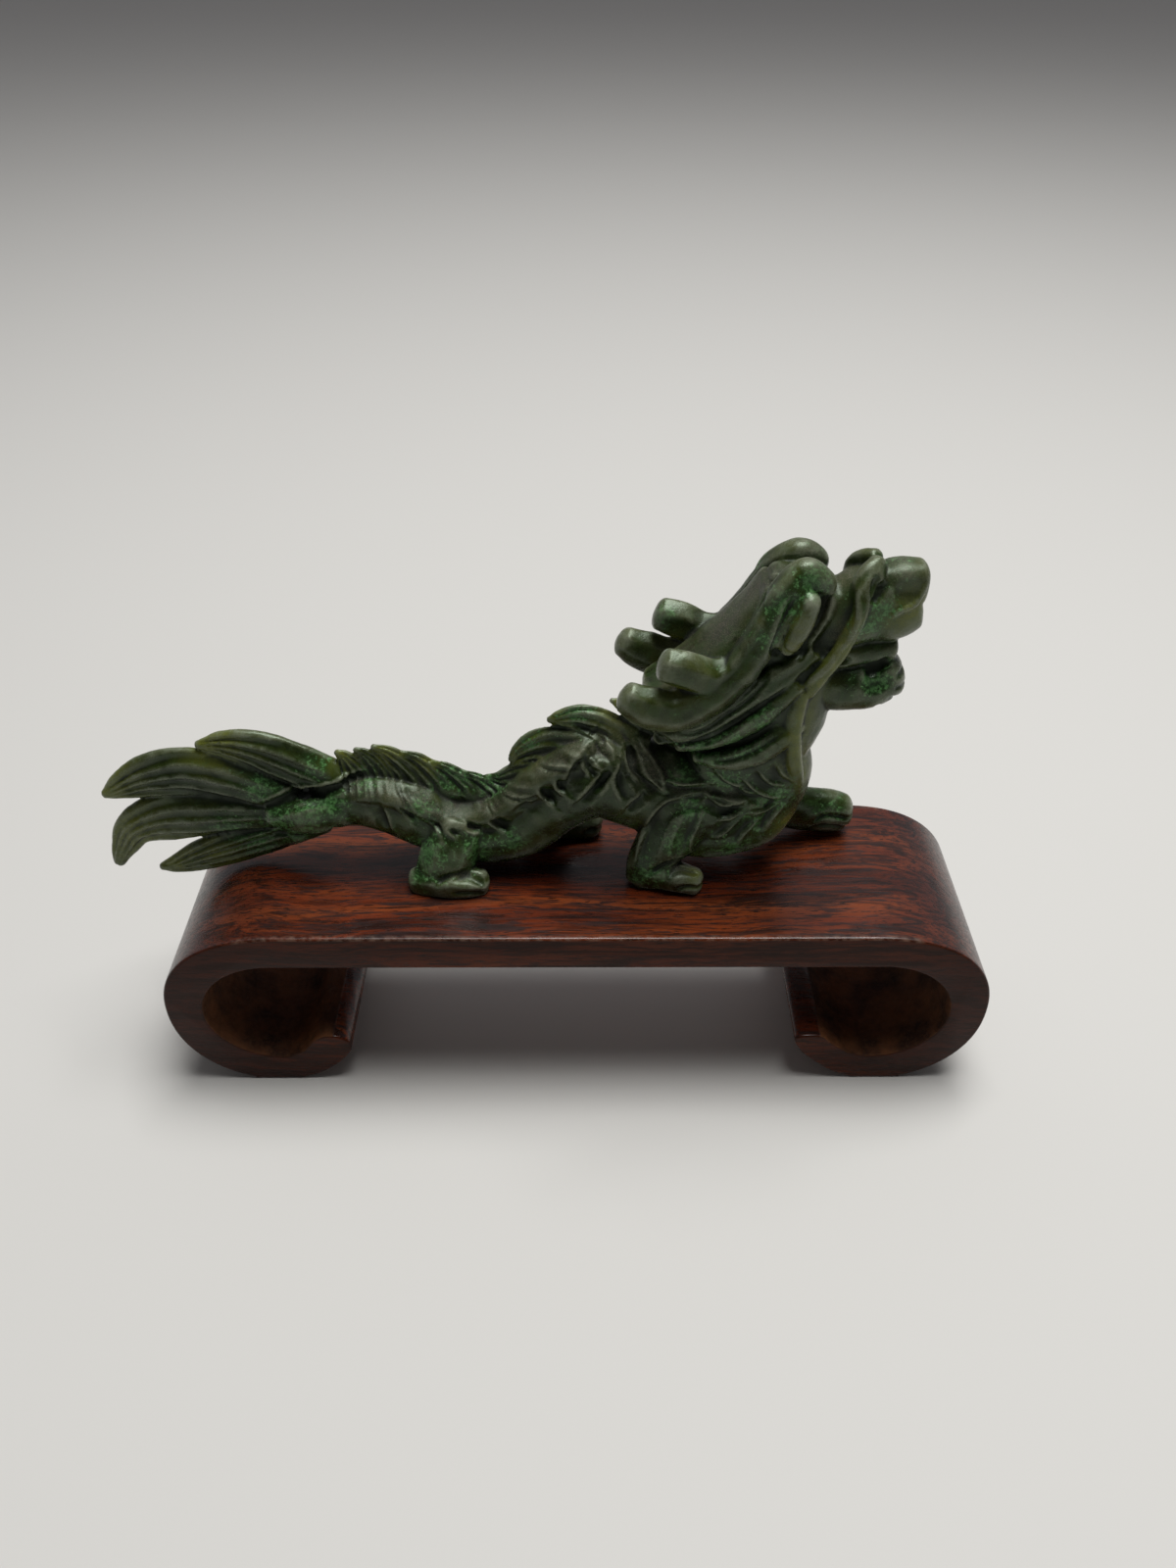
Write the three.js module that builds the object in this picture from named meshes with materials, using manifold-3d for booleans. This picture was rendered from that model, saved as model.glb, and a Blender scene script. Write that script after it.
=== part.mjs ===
// A jade dragon walking across a rosewood scroll stand.
// There are two pieces. The dragon is carved from one stone, and it rests by its own weight
// on the stand, which is one block of rosewood whose two ends curl under as scrolls.
// Millimetres, +Z up. X runs along the stand towards the dragon's head, and Y runs away from
// the dragon's right flank towards its left. The origin is on the table, under the middle of
// the whole object.
import * as THREE from "three";
import { mergeVertices } from "three/addons/utils/BufferGeometryUtils.js";
import Module from "manifold-3d";

const wasm = await Module();
wasm.setup();

// ---------------------------------------------------------------- driving dimensions

// The stand.
const STAND_LENGTH = 165;
const STAND_DEPTH = 40.6;
const STAND_HEIGHT = 41.5;
const BOARD_THICKNESS = 8;
const STAND_BEVEL = 0.4;

// The dragon has a frame of its own: X from the middle of the stand, Y from the dragon's own
// middle plane, Z from the top of the stand. Its left half mirrors its right one.
const DRAGON_MIDDLE = 3;

const JADE = new THREE.MeshStandardMaterial({ color: 0x2b3a22, roughness: 0.3, metalness: 0 });
const ROSEWOOD = new THREE.MeshStandardMaterial({ color: 0x512414, roughness: 0.38, metalness: 0 });

// ---------------------------------------------------------------- solids, joins and cuts

function solidOf(geometry) {
  const bare = geometry.clone();
  bare.deleteAttribute("normal");
  bare.deleteAttribute("uv");
  const merged = mergeVertices(bare, 1e-4);
  return new wasm.Manifold(
    new wasm.Mesh({
      numProp: 3,
      vertProperties: new Float32Array(merged.attributes.position.array),
      triVerts: new Uint32Array(merged.index.array),
    }),
  );
}

function geometryOf(solid) {
  const mesh = solid.getMesh();
  const geometry = new THREE.BufferGeometry();
  geometry.setAttribute("position", new THREE.BufferAttribute(mesh.vertProperties, 3));
  geometry.setIndex(new THREE.BufferAttribute(mesh.triVerts, 1));
  geometry.computeVertexNormals();
  return geometry;
}

const join = (forms) => forms.map(solidOf).reduce((whole, form) => whole.add(form));

// Where many forms meet, rounding can leave a loose speck with no volume. The carving is the largest body.
const largestBody = (solid) => solid.decompose().reduce((a, b) => (b.volume() > a.volume() ? b : a));

// ---------------------------------------------------------------- the form that carving is made of

// A smooth curve through the given values, three at a time.
const curveThrough = (values) => new THREE.CatmullRomCurve3(values, false, "catmullrom", 0.5);

// A rounded limb: the rings of a sphere carried along a curve.
// Each station is [x, y, z, half width, half height, turn in degrees]. The width lies along Y
// where the curve allows it, and the height is square to it and to the curve.
// ends: how far each end bulges past its last station, in mean half sizes; 0 is cut flat.
// power: 2 makes oval sections, more makes squarer ones.
// caps: how many rings round off each end; 1 gives a point.
// relief(angle, along): scales the section, for ridges and grooves along the limb.
function limb(stations, options = {}) {
  const { sides = 10, rings = 8, ends = [0.6, 0.6], caps = 2, power = 2, relief = () => 1 } = options;
  const route = curveThrough(stations.map(([x, y, z]) => new THREE.Vector3(x, y, z)));
  const sizes = curveThrough(stations.map(([, , , w, h, turn = 0]) => new THREE.Vector3(w, h, turn)));
  const rows = rings + 2 * caps;
  const geometry = new THREE.SphereGeometry(1, sides, rows);
  const position = geometry.attributes.position;
  for (let row = 0; row <= rows; row++) {
    const t = THREE.MathUtils.clamp((row - caps) / rings, 0, 1);
    const capTurn = Math.min(row, rows - row, caps) * (Math.PI / 2 / caps);
    const bulge = row < rows / 2 ? -ends[0] : ends[1];
    const centre = route.getPoint(t);
    const along = route.getTangent(t);
    const size = sizes.getPoint(t);
    const width = new THREE.Vector3(0, 1, 0).addScaledVector(along, -along.y).normalize();
    width.applyAxisAngle(along, THREE.MathUtils.degToRad(size.z));
    const height = along.clone().cross(width);
    centre.addScaledVector(along, bulge * Math.cos(capTurn) * (size.x + size.y) * 0.5);
    for (let side = 0; side <= sides; side++) {
      const angle = ((side % sides) * 2 * Math.PI) / sides;
      const [c, s] = [Math.cos(angle), Math.sin(angle)];
      const oval = (Math.abs(c) ** power + Math.abs(s) ** power) ** (-1 / power);
      const r = Math.sin(capTurn) * oval * relief(angle, t);
      const point = centre.clone().addScaledVector(height, r * size.y * c);
      point.addScaledVector(width, r * size.x * s);
      position.setXYZ(row * (sides + 1) + side, point.x, point.y, point.z);
    }
  }
  if (solidOf(geometry).volume() < 0) geometry.index.array.reverse();
  return geometry;
}

// The same limb on the dragon's left side.
const mirror = (stations) => stations.map(([x, y, z, w, h, turn = 0]) => [x, -y, z, w, h, -turn]);

const bothSides = (stations, options) => [limb(stations, options), limb(mirror(stations), options)];

// ---------------------------------------------------------------- the dragon

// The long body sinks behind the shoulders, dips over the hind legs and lifts into the tail.
const SPINE = [
  [-56, 0, 12, 3.2, 3.8],
  [-49, 0, 14.4, 4.4, 4.8],
  [-42, 0, 16.2, 5.6, 5.8],
  [-35, 0, 14.6, 6.2, 6.4],
  [-27, 0, 10.4, 6.6, 6.6],
  [-19, 0, 8, 6.9, 6.6],
  [-11, 0, 10.2, 7.1, 7],
  [-3.5, 0, 17.2, 7.3, 7.4],
  [4, 0, 21.4, 7.6, 8.6],
  [13, 0, 20, 8, 10],
  [22, 0, 16.8, 8.2, 11.4],
  [30, 0, 15, 8, 11.6],
  [36, 0, 15.4, 7, 9.4],
];

const trunk = () => limb(SPINE, { sides: 12, rings: 18, ends: [0.5, 0.45], power: 2.2 });

// Scales are cut into the flanks below the back: each cut is a leaning crescent, deepest in its
// middle. They follow one another along the spine, as shares of its length.
function scaleCuts() {
  const FIRST_CUT = 0.16;
  const LAST_CUT = 0.7;
  const CUTS = 9;
  const CUT_WIDTH = 1.5;
  const route = curveThrough(SPINE.map(([x, y, z]) => new THREE.Vector3(x, y, z)));
  const sizes = curveThrough(SPINE.map(([, , , w, h]) => new THREE.Vector3(w, h, 0)));
  const onFlank = (share, height) => {
    const size = sizes.getPoint(share);
    const along = route.getTangent(share);
    const up = new THREE.Vector3(-along.z, 0, along.x);
    const point = route.getPoint(share).addScaledVector(up, size.y * height);
    return [point.x, -size.x * Math.sqrt(1 - height ** 2) - 0.3, point.z];
  };
  const cut = (_, i) => {
    const share = THREE.MathUtils.lerp(FIRST_CUT, LAST_CUT, i / (CUTS - 1));
    const crescent = [
      [...onFlank(share - 0.02, 0.7), 0.4, 0.3],
      [...onFlank(share, 0.3), CUT_WIDTH, CUT_WIDTH],
      [...onFlank(share + 0.035, -0.15), 0.4, 0.3],
    ];
    return bothSides(crescent, { sides: 4, rings: 2, caps: 1 });
  };
  return Array.from({ length: CUTS }, cut).flat();
}

// The neck stands on the chest, and widens into the head.
function neck() {
  return limb(
    [
      [31, 0, 12, 7.6, 10],
      [33, 0, 22, 7.8, 12.2],
      [32.8, 0, 30.5, 7.6, 11.6],
      [35.4, 0, 39, 7.2, 11.6],
      [38, 0, 48, 6.8, 9.4],
      [38.4, 0, 57, 6.4, 7.8],
      [39, 0, 64, 4.8, 5.6],
    ],
    { sides: 12, rings: 7, ends: [0.3, 0.6], power: 2.4 },
  );
}

// The muzzle is one block with the upper lip turned up at its tip, over a shorter lower jaw.
function muzzle() {
  const upper = [
    [41, 0, 57, 6, 7.4],
    [46.4, 0, 58, 5.8, 6.4],
    [51.4, 0, 60, 4.9, 7.6],
    [55, 0, 59.6, 4.6, 7.2],
    [58.4, 0, 60.8, 3.6, 6.6],
  ];
  const lower = [
    [42, 0, 44.6, 5.6, 5.6],
    [49, 0, 43.8, 5.2, 5.6],
    [55.8, 0, 44.2, 4.4, 5.4],
  ];
  const corner = [
    [44, 0, 50, 5.6, 4],
    [53.4, 0, 51.4, 3.8, 3],
  ];
  return [
    limb(upper, { sides: 12, rings: 7, ends: [0.3, 0.35], power: 2.3 }),
    limb(lower, { sides: 12, rings: 5, ends: [0.3, 0.6], power: 2.4 }),
    limb(corner, { sides: 8, rings: 2, ends: [0.3, 0.4] }),
  ];
}

// Nostrils, eyes and the brows that fold round them.
function features() {
  const nostril = [
    [49.2, -3.4, 64.6, 1.6, 1.8],
    [52, -3.1, 66.3, 1.9, 2.1],
    [54, -2.9, 64.2, 1.5, 1.7],
  ];
  const eye = [
    [36.4, -5.8, 55, 1.9, 1.6],
    [38, -6.2, 59.2, 2.3, 2.6],
    [39.8, -5.8, 63.4, 1.9, 2.2],
  ];
  const brow = [
    [32.6, -6, 57.8, 1.6, 1.5],
    [35, -5.4, 63.6, 2.2, 2.2],
    [38.4, -3.7, 67.2, 2.6, 2.6],
    [41.6, -4, 66.2, 2.2, 2.2],
    [43.2, -4.4, 64.4, 1.3, 1.5],
  ];
  return [
    ...bothSides(nostril, { sides: 8, rings: 3, caps: 1 }),
    ...bothSides(eye, { sides: 8, rings: 3, ends: [0.9, 0.9] }),
    ...bothSides(brow, { sides: 8, rings: 7, caps: 1 }),
  ];
}

// Each horn is a broad band that sweeps back from the brow and forks into two blunt prongs.
// A hollow saddle joins the two horns over the back of the head.
function horns() {
  const band = [
    [9.2, -9.4, 46, 2.6, 3],
    [12.6, -9.4, 44.1, 2.9, 4],
    [17.4, -9, 42.9, 3, 4],
    [22.6, -8.3, 44.9, 3, 3.9],
    [27.4, -7.4, 48.9, 3, 3.5],
    [30.9, -6.6, 53.8, 2.9, 3.2],
    [33.6, -6, 58.6, 2.8, 3.1],
    [36.6, -5, 63.6, 2.6, 3],
    [39, -4, 66.6, 2.2, 2.2],
  ];
  const prong = [
    [15.8, -8.7, 52.2, 2.8, 3.2],
    [19, -8.5, 51.2, 3, 3.7],
    [23, -8.1, 49.6, 2.8, 3.4],
    [27, -7.4, 50, 2.2, 2.8],
  ];
  const saddle = [
    [14, 0, 42.6, 4.6, 2],
    [19.6, 0, 45, 6, 3],
    [25, 0, 47.6, 6.6, 2.8],
    [30.4, 0, 53.4, 6.4, 2.8],
    [36, 0, 61.8, 5.2, 3],
  ];
  return [
    ...bothSides(band, { sides: 8, rings: 11, ends: [0.55, 0.5], power: 2.6 }),
    ...bothSides(prong, { sides: 8, rings: 4, ends: [0.5, 0.5], power: 2.4 }),
    limb(saddle, { sides: 10, rings: 5, ends: [0.5, 0.4], power: 2.4 }),
  ];
}

// Locks of mane sweep back from the cheek under the horn, over a core that fills the nape.
function mane() {
  const core = [
    [15, 0, 34.6, 4, 2],
    [21, 0, 36.4, 6, 4.4],
    [29, 0, 40.4, 6.8, 6.4],
    [38, 0, 47, 6.6, 6.4],
  ];
  const locks = [
    [
      [15.2, -5.4, 34.4, 1.3, 1.5],
      [20.4, -6.4, 36.8, 2, 2.3],
      [27.4, -7, 41.8, 2.2, 2.6],
      [34.4, -7, 47.6, 2, 2.5],
      [41.6, -6.2, 53, 1.3, 1.6],
    ],
    [
      [19, -5.6, 33, 1.3, 1.4],
      [25.6, -6.9, 36, 2.1, 2.4],
      [32.4, -7.2, 40.8, 2.2, 2.7],
      [39, -6.6, 46.6, 1.4, 1.8],
    ],
    [
      [22.4, -6, 30.6, 1.4, 1.4],
      [28.4, -7.2, 31, 2.2, 2.4],
      [34.6, -7.2, 33.4, 2.1, 2.8],
      [40.2, -6.4, 38, 1.3, 1.8],
    ],
  ];
  return [
    limb(core, { sides: 10, rings: 5 }),
    ...locks.flatMap((lock) => bothSides(lock, { sides: 6, rings: 6, caps: 1, power: 1.7 })),
  ];
}

// A flat whisker runs from beside each nostril down the cheek and throat to the chest.
function whiskers() {
  const upper = [
    [50.8, -3.2, 66.8, 0.8, 1],
    [48.9, -4.8, 64.8, 1, 1.3],
    [48.4, -5.7, 60.4, 1.1, 1.5],
    [46.4, -6.3, 54.4, 1.1, 1.5],
    [43.4, -6.7, 49.2, 1.1, 1.5],
    [41.2, -6.6, 45, 0.9, 1.3],
  ];
  const lower = [
    [40.4, -6.6, 45.2, 1, 1.3],
    [39.4, -6.9, 38, 1.2, 1.6],
    [40.2, -6.7, 31, 1.2, 1.6],
    [41.4, -5.8, 25, 1.1, 1.5],
    [41.6, -4.8, 20, 0.8, 1.1],
  ];
  return [upper, lower].flatMap((band) => bothSides(band, { sides: 6, rings: 6, caps: 1 }));
}

// Leaf-shaped fins stand along the back, each with its point towards the tail.
// A fin is its tip, its widest middle and its root on the back: [x, z] each, and its half width.
function fins() {
  const leaves = [
    [[-45.6, 26.2], [-38.6, 24.6], [-30, 19.5], 3],
    [[-35.8, 26.4], [-27.4, 21.6], [-18, 15.5], 3],
    [[-20.4, 20], [-14.6, 18.6], [-6.4, 20.4], 3],
    [[-11.6, 25.4], [-6, 28.4], [2, 28.6], 3.6],
    [[-4.4, 35.2], [1.6, 34], [9, 28], 3.6],
    [[7, 38.6], [11.6, 36.4], [20, 31], 2.2],
  ];
  const veins = (angle) => 1 + 0.1 * Math.cos(4 * angle);
  return leaves.map(([tip, middle, root, halfWidth]) =>
    limb(
      [
        [tip[0], 0, tip[1], 0.7, 0.5],
        [(tip[0] + middle[0]) / 2, 0, (tip[1] + middle[1]) / 2 + halfWidth * 0.15, 1.2, halfWidth * 0.68],
        [middle[0], 0, middle[1], 1.6, halfWidth],
        [root[0], 0, root[1], 1.8, halfWidth * 0.8],
      ],
      { sides: 8, rings: 5, caps: 1, power: 1.6, relief: veins },
    ),
  );
}

// The tail opens into four grooved fronds that lie in one plane, like a flattened brush.
function tail() {
  const fronds = [
    [
      [-72, 0, 29, 0.9, 0.8],
      [-67, 0, 29, 1.6, 3.2],
      [-60.6, 0, 27.2, 2.2, 4.9],
      [-53, 0, 23.6, 2.8, 5],
      [-45, 0, 19.6, 3, 4],
    ],
    [
      [-92.6, 0, 17, 0.9, 1],
      [-88.6, 0, 19, 1.5, 3.2],
      [-82.6, 0, 21.4, 1.9, 5],
      [-75, 0, 22.6, 2.2, 5.6],
      [-66, 0, 20.6, 2.8, 5],
      [-56, 0, 16, 3, 4],
    ],
    [
      [-94.2, 0, -1, 0.9, 1.2],
      [-91.8, 0, 3.8, 1.5, 2.8],
      [-88.4, 0, 8.4, 1.9, 4.2],
      [-82.4, 0, 11, 2.2, 5.8],
      [-74, 0, 11.8, 2.5, 5.4],
      [-65, 0, 12.6, 2.9, 4.6],
      [-56, 0, 13, 3, 4],
    ],
    [
      [-85.6, 0, -2.2, 0.9, 0.8],
      [-81.8, 0, -1.2, 1.4, 2.4],
      [-76, 0, 1.2, 2, 3.8],
      [-69, 0, 3.8, 2.4, 4.2],
      [-60, 0, 7.4, 2.8, 4.2],
      [-51, 0, 11, 3, 3.6],
    ],
  ];
  // Alternate corners of the section stand high, which leaves two long grooves on each face.
  const depth = (along) => 0.14 * Math.sin(Math.PI * Math.min(1, along + 0.2));
  const grooves = (angle, along) => 1 + depth(along) * Math.cos(6 * angle);
  const flank = [
    [-60, -2, 13.6, 2, 2.6],
    [-52.6, -3, 14.2, 2.8, 4.4],
    [-45, -3, 15.2, 2.4, 3.4],
  ];
  return [
    ...fronds.map((frond) => limb(frond, { sides: 12, rings: 8, caps: 1, relief: grooves })),
    ...bothSides(flank, { sides: 8, rings: 4 }),
  ];
}

// The right legs stand back and the left legs reach forward, in the stride of a walk.
// Every paw is cut flat underneath, where it rests on the stand.
function legs() {
  const rightFore = [
    [25.6, -6, 21, 2.6, 4.4],
    [21, -7, 17.4, 3.2, 5],
    [16.4, -7.6, 11.6, 3.2, 5],
    [13.6, -7.6, 6, 3, 4.6],
    [13, -7.4, 1, 3, 4],
  ];
  const rightForePaw = [
    [12.4, -6.8, 1.6, 2.8, 3.2],
    [17, -8, 2.4, 3.2, 3],
    [23.4, -9, 1.8, 3, 2.8],
  ];
  const rightHind = [
    [-23.6, -4, 11.6, 4, 6.6],
    [-24.6, -6.4, 7.4, 4.2, 6.6],
    [-25.2, -7.8, 3.6, 3.8, 6],
    [-25.4, -8.6, 0, 3.6, 6.2],
  ];
  const rightHindPaw = [
    [-31.4, -8.2, 1, 3, 3],
    [-25.6, -8.8, 2, 3.6, 3.6],
    [-19.4, -9, 2, 3.2, 3],
  ];
  const leftFore = [
    [32, 4.4, 14, 4, 6],
    [39.4, 6.8, 9.6, 4, 5.6],
    [46, 8.4, 6.4, 3.8, 5],
    [51.8, 9.2, 5, 3.9, 5],
    [54.8, 9.4, 4.4, 3.6, 4.4],
  ];
  const leftHind = [
    [-12, 4, 11, 3.6, 6],
    [-7.4, 6.4, 7.4, 3.8, 5.6],
    [-3, 8, 4, 3.6, 4.6],
    [3, 8.4, 2.4, 3.2, 3.6],
  ];
  return [
    limb(rightFore, { sides: 8, rings: 6, ends: [0.5, 0.3] }),
    limb(rightForePaw, { sides: 8, rings: 4, ends: [0.5, 0.6] }),
    limb(rightHind, { sides: 8, rings: 4, ends: [0.3, 0.3] }),
    limb(rightHindPaw, { sides: 8, rings: 4, ends: [0.6, 0.6] }),
    limb(leftFore, { sides: 8, rings: 6, ends: [0.3, 0.7] }),
    limb(leftHind, { sides: 8, rings: 4, ends: [0.3, 0.7] }),
  ];
}

// Everything is cut off level where the paws rest, by a block as wide as the whole carving.
function groundBlock() {
  const REACH = 240;
  const THICKNESS = 20;
  // The lowest frond hangs out past the end of the stand, so the block stops at the tail.
  const TAIL_END = -62;
  const block = new THREE.BoxGeometry(REACH, REACH, THICKNESS);
  block.translate(TAIL_END + REACH / 2, 0, -THICKNESS / 2);
  return block;
}

function dragon() {
  const forms = [
    trunk(),
    neck(),
    ...muzzle(),
    ...features(),
    ...horns(),
    ...mane(),
    ...whiskers(),
    ...fins(),
    ...tail(),
    ...legs(),
  ];
  const carved = join(forms).subtract(join([...scaleCuts(), groundBlock()]));
  return new THREE.Mesh(geometryOf(largestBody(carved)), JADE);
}

// ---------------------------------------------------------------- the stand

// Each end curls under and stops at a lip. The right lip is cut square on top, the left is round.
// These points run up from the flat foot, over the lip and down into the hollow.
const NOSE = [[53.4, 2], [49.5, 5.1]];
const SQUARE_LIP = [...NOSE, [46.2, 8.6], [44.4, 13.2], [49.8, 13.4], [52.8, 10.6], [56.2, 8]];
const ROUND_LIP = [...NOSE, [47, 8.4], [46.8, 11.2], [48.6, 13], [51.6, 13.6], [54, 12], [56.6, 8.8]];

// The outline of one scroll end, from the top of the board round and back to its underside.
// It is drawn for the right end, in [x, z] from the middle of the stand. The outer curve is two
// quarters of a squarish oval, and the hollow is half an oval.
function scrollOutline(lip) {
  const STEPS = 8;
  const WALL = 7.5;
  const CROWN = 57;
  const HEEL = 60;
  const FLAT_FOOT = [58, 68];
  const FOOT_DROP = 0.8;
  const CROWN_POWER = 2.25;
  const HEEL_POWER = 2.15;
  const middle = STAND_HEIGHT / 2;
  const end = STAND_LENGTH / 2;
  const hollowTop = STAND_HEIGHT - BOARD_THICKNESS;
  const hollowHeight = hollowTop - WALL + 0.6;
  const bow = (share, power) => share ** (2 / power);
  const outline = [];
  for (let i = 0; i <= STEPS; i++) {
    const turn = (i / STEPS) * (Math.PI / 2);
    const x = CROWN + (end - CROWN) * bow(Math.sin(turn), CROWN_POWER);
    outline.push([x, middle + middle * bow(Math.max(Math.cos(turn), 0), CROWN_POWER)]);
  }
  for (let i = 1; i < STEPS; i++) {
    const turn = (i / STEPS) * (Math.PI / 2);
    const x = HEEL + (end - HEEL) * bow(Math.cos(turn), HEEL_POWER);
    const z = middle - (middle + FOOT_DROP) * bow(Math.sin(turn), HEEL_POWER);
    if (z > 0) outline.push([x, z]);
  }
  outline.push([FLAT_FOOT[1], 0], [FLAT_FOOT[0], 0], ...lip);
  for (let i = 0; i <= 2 * STEPS; i++) {
    const turn = (i / STEPS) * (Math.PI / 2);
    const x = HEEL + (end - WALL - HEEL) * Math.sin(turn);
    outline.push([x, hollowTop - (hollowHeight * (1 + Math.cos(turn))) / 2]);
  }
  return outline;
}

function stand() {
  const right = scrollOutline(SQUARE_LIP);
  const left = scrollOutline(ROUND_LIP).map(([x, z]) => [-x, z]);
  const outline = [...right, ...left.reverse()].map(([x, z]) => new THREE.Vector2(x, z));
  const block = new THREE.ExtrudeGeometry(new THREE.Shape(outline), {
    depth: STAND_DEPTH - 2 * STAND_BEVEL,
    bevelSize: STAND_BEVEL,
    bevelThickness: STAND_BEVEL,
    bevelOffset: -STAND_BEVEL,
    bevelSegments: 1,
  });
  block.translate(0, 0, STAND_BEVEL - STAND_DEPTH / 2);
  block.rotateX(Math.PI / 2);
  return new THREE.Mesh(geometryOf(solidOf(block)), ROSEWOOD);
}

const jadeDragon = dragon();
jadeDragon.name = "jade_dragon";
jadeDragon.position.set(0, DRAGON_MIDDLE, STAND_HEIGHT);

const rosewoodStand = stand();
rosewoodStand.name = "rosewood_stand";

// The tail reaches out past the stand, so both pieces move along until the whole is centred.
const root = new THREE.Group();
root.add(jadeDragon, rosewoodStand);
const tailTip = new THREE.Box3().setFromObject(jadeDragon).min.x;
root.position.x = -(tailTip + STAND_LENGTH / 2) / 2;

export default root;
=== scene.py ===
"""A jade dragon on its rosewood scroll stand.

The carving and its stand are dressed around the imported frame. Everything is in metres, in the
frame's own axes: X along the stand towards the dragon's head, -Y towards the viewer, Z up.
"""

import bpy
import numpy as np
from mathutils import Euler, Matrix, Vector

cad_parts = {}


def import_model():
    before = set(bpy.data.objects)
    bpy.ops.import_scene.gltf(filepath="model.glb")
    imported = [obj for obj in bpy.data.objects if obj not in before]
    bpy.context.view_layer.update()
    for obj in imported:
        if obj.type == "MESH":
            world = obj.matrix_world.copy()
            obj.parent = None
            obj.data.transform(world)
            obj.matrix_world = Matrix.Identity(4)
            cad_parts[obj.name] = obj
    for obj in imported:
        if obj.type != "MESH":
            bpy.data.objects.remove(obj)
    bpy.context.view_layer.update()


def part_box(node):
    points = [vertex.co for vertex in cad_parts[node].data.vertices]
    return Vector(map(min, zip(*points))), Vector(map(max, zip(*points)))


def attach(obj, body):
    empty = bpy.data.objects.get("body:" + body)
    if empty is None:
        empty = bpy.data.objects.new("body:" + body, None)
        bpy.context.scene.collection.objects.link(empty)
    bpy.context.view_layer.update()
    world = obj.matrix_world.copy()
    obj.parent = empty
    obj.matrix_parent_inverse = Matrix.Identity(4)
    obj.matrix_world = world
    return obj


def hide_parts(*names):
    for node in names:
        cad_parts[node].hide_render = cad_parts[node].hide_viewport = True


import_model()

# ---------------------------------------------------------------- the camera
# A hand-held view from in front and above, close enough that the near end of the stand
# spreads. It is placed from the middle of the stand's foot.

MM = 0.001

stand_low, stand_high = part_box("rosewood_stand")
stand_foot = Vector(((stand_low.x + stand_high.x) / 2, (stand_low.y + stand_high.y) / 2,
                     stand_low.z))

EYE = Vector((1.84, -178.85, 204.07)) * MM
LOOK_DOWN = 38.235
LOOK_LEFT = 0.136
LENS = 27.2


def placed(name, data):
    """A new object of that name in the scene, at the origin."""
    thing = bpy.data.objects.new(name, data)
    bpy.context.scene.collection.objects.link(thing)
    return thing


eye = placed("eye", bpy.data.cameras.new("eye"))
eye.data.lens = LENS
eye.data.sensor_width = 36
eye.data.clip_start = 0.01
eye.location = stand_foot + EYE
eye.rotation_euler = Euler([np.radians(90 - LOOK_DOWN), 0, np.radians(-LOOK_LEFT)])
bpy.context.scene.camera = eye

# ---------------------------------------------------------------- the studio
# A pale matt floor under one wide soft light, in a plain room that is dark in front of the
# object and paler behind it, so that the polish has something to mirror.

FLOOR_RADIUS = 4.0
FLOOR_SIDES = 96
FLOOR_ROUGHNESS = 0.75
FLOOR_COLOUR = (0.60, 0.59, 0.56, 1)
ROOM_FRONT = (0.06, 0.06, 0.06, 1)
ROOM_BACK = (0.30, 0.295, 0.31, 1)
ROOM_BACK_FROM = 0.35
LIGHT_AIM = Vector((0, 0, 0.05))

turn = np.linspace(0, 2 * np.pi, FLOOR_SIDES, endpoint=False)
rim = np.stack([np.cos(turn), np.sin(turn), 0 * turn], 1) * FLOOR_RADIUS
floor_mesh = bpy.data.meshes.new("floor")
floor_mesh.from_pydata((rim + np.array(stand_foot)).tolist(), [], [list(range(len(turn)))])
floor = placed("floor", floor_mesh)
floor_paint = bpy.data.materials.new("pale_floor")
floor_paint.use_nodes = True
floor_shader = floor_paint.node_tree.nodes["Principled BSDF"]
floor_shader.inputs["Base Color"].default_value = FLOOR_COLOUR
floor_shader.inputs["Roughness"].default_value = FLOOR_ROUGHNESS
floor_mesh.materials.append(floor_paint)

room = bpy.data.worlds.new("pale_room")
room.use_nodes = True
tree = room.node_tree
toward = tree.nodes.new("ShaderNodeTexCoord").outputs["Generated"]
apart = tree.nodes.new("ShaderNodeSeparateXYZ")
tree.links.new(toward, apart.inputs[0])
shade = tree.nodes.new("ShaderNodeValToRGB")
tree.links.new(apart.outputs["Y"], shade.inputs[0])
shade.color_ramp.elements[0].color = ROOM_FRONT
shade.color_ramp.elements[0].position = 0.0
shade.color_ramp.elements[1].color = ROOM_BACK
shade.color_ramp.elements[1].position = ROOM_BACK_FROM
tree.links.new(shade.outputs[0], tree.nodes["Background"].inputs["Color"])
bpy.context.scene.world = room
bpy.context.scene.view_settings.view_transform = "Standard"


def soft_light(name, place, size, watts):
    """A square area light of that size in metres, turned to face the carving."""
    light = bpy.data.lights.new(name, "AREA")
    light.size = size
    light.energy = watts
    lamp = placed(name, light)
    lamp.location = stand_foot + Vector(place)
    lamp.rotation_euler = (LIGHT_AIM - Vector(place)).to_track_quat("-Z", "Y").to_euler()


soft_light("overhead", (0.15, 0.1, 1.1), 0.6, 14.0)

# ---------------------------------------------------------------- the rosewood stand
# One block of dark rosewood that stands on its two scrolled ends. It is sawn and filed, so the
# hollows inside the scrolls are rougher than the waxed outside. The carving only rests on it.

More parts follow.
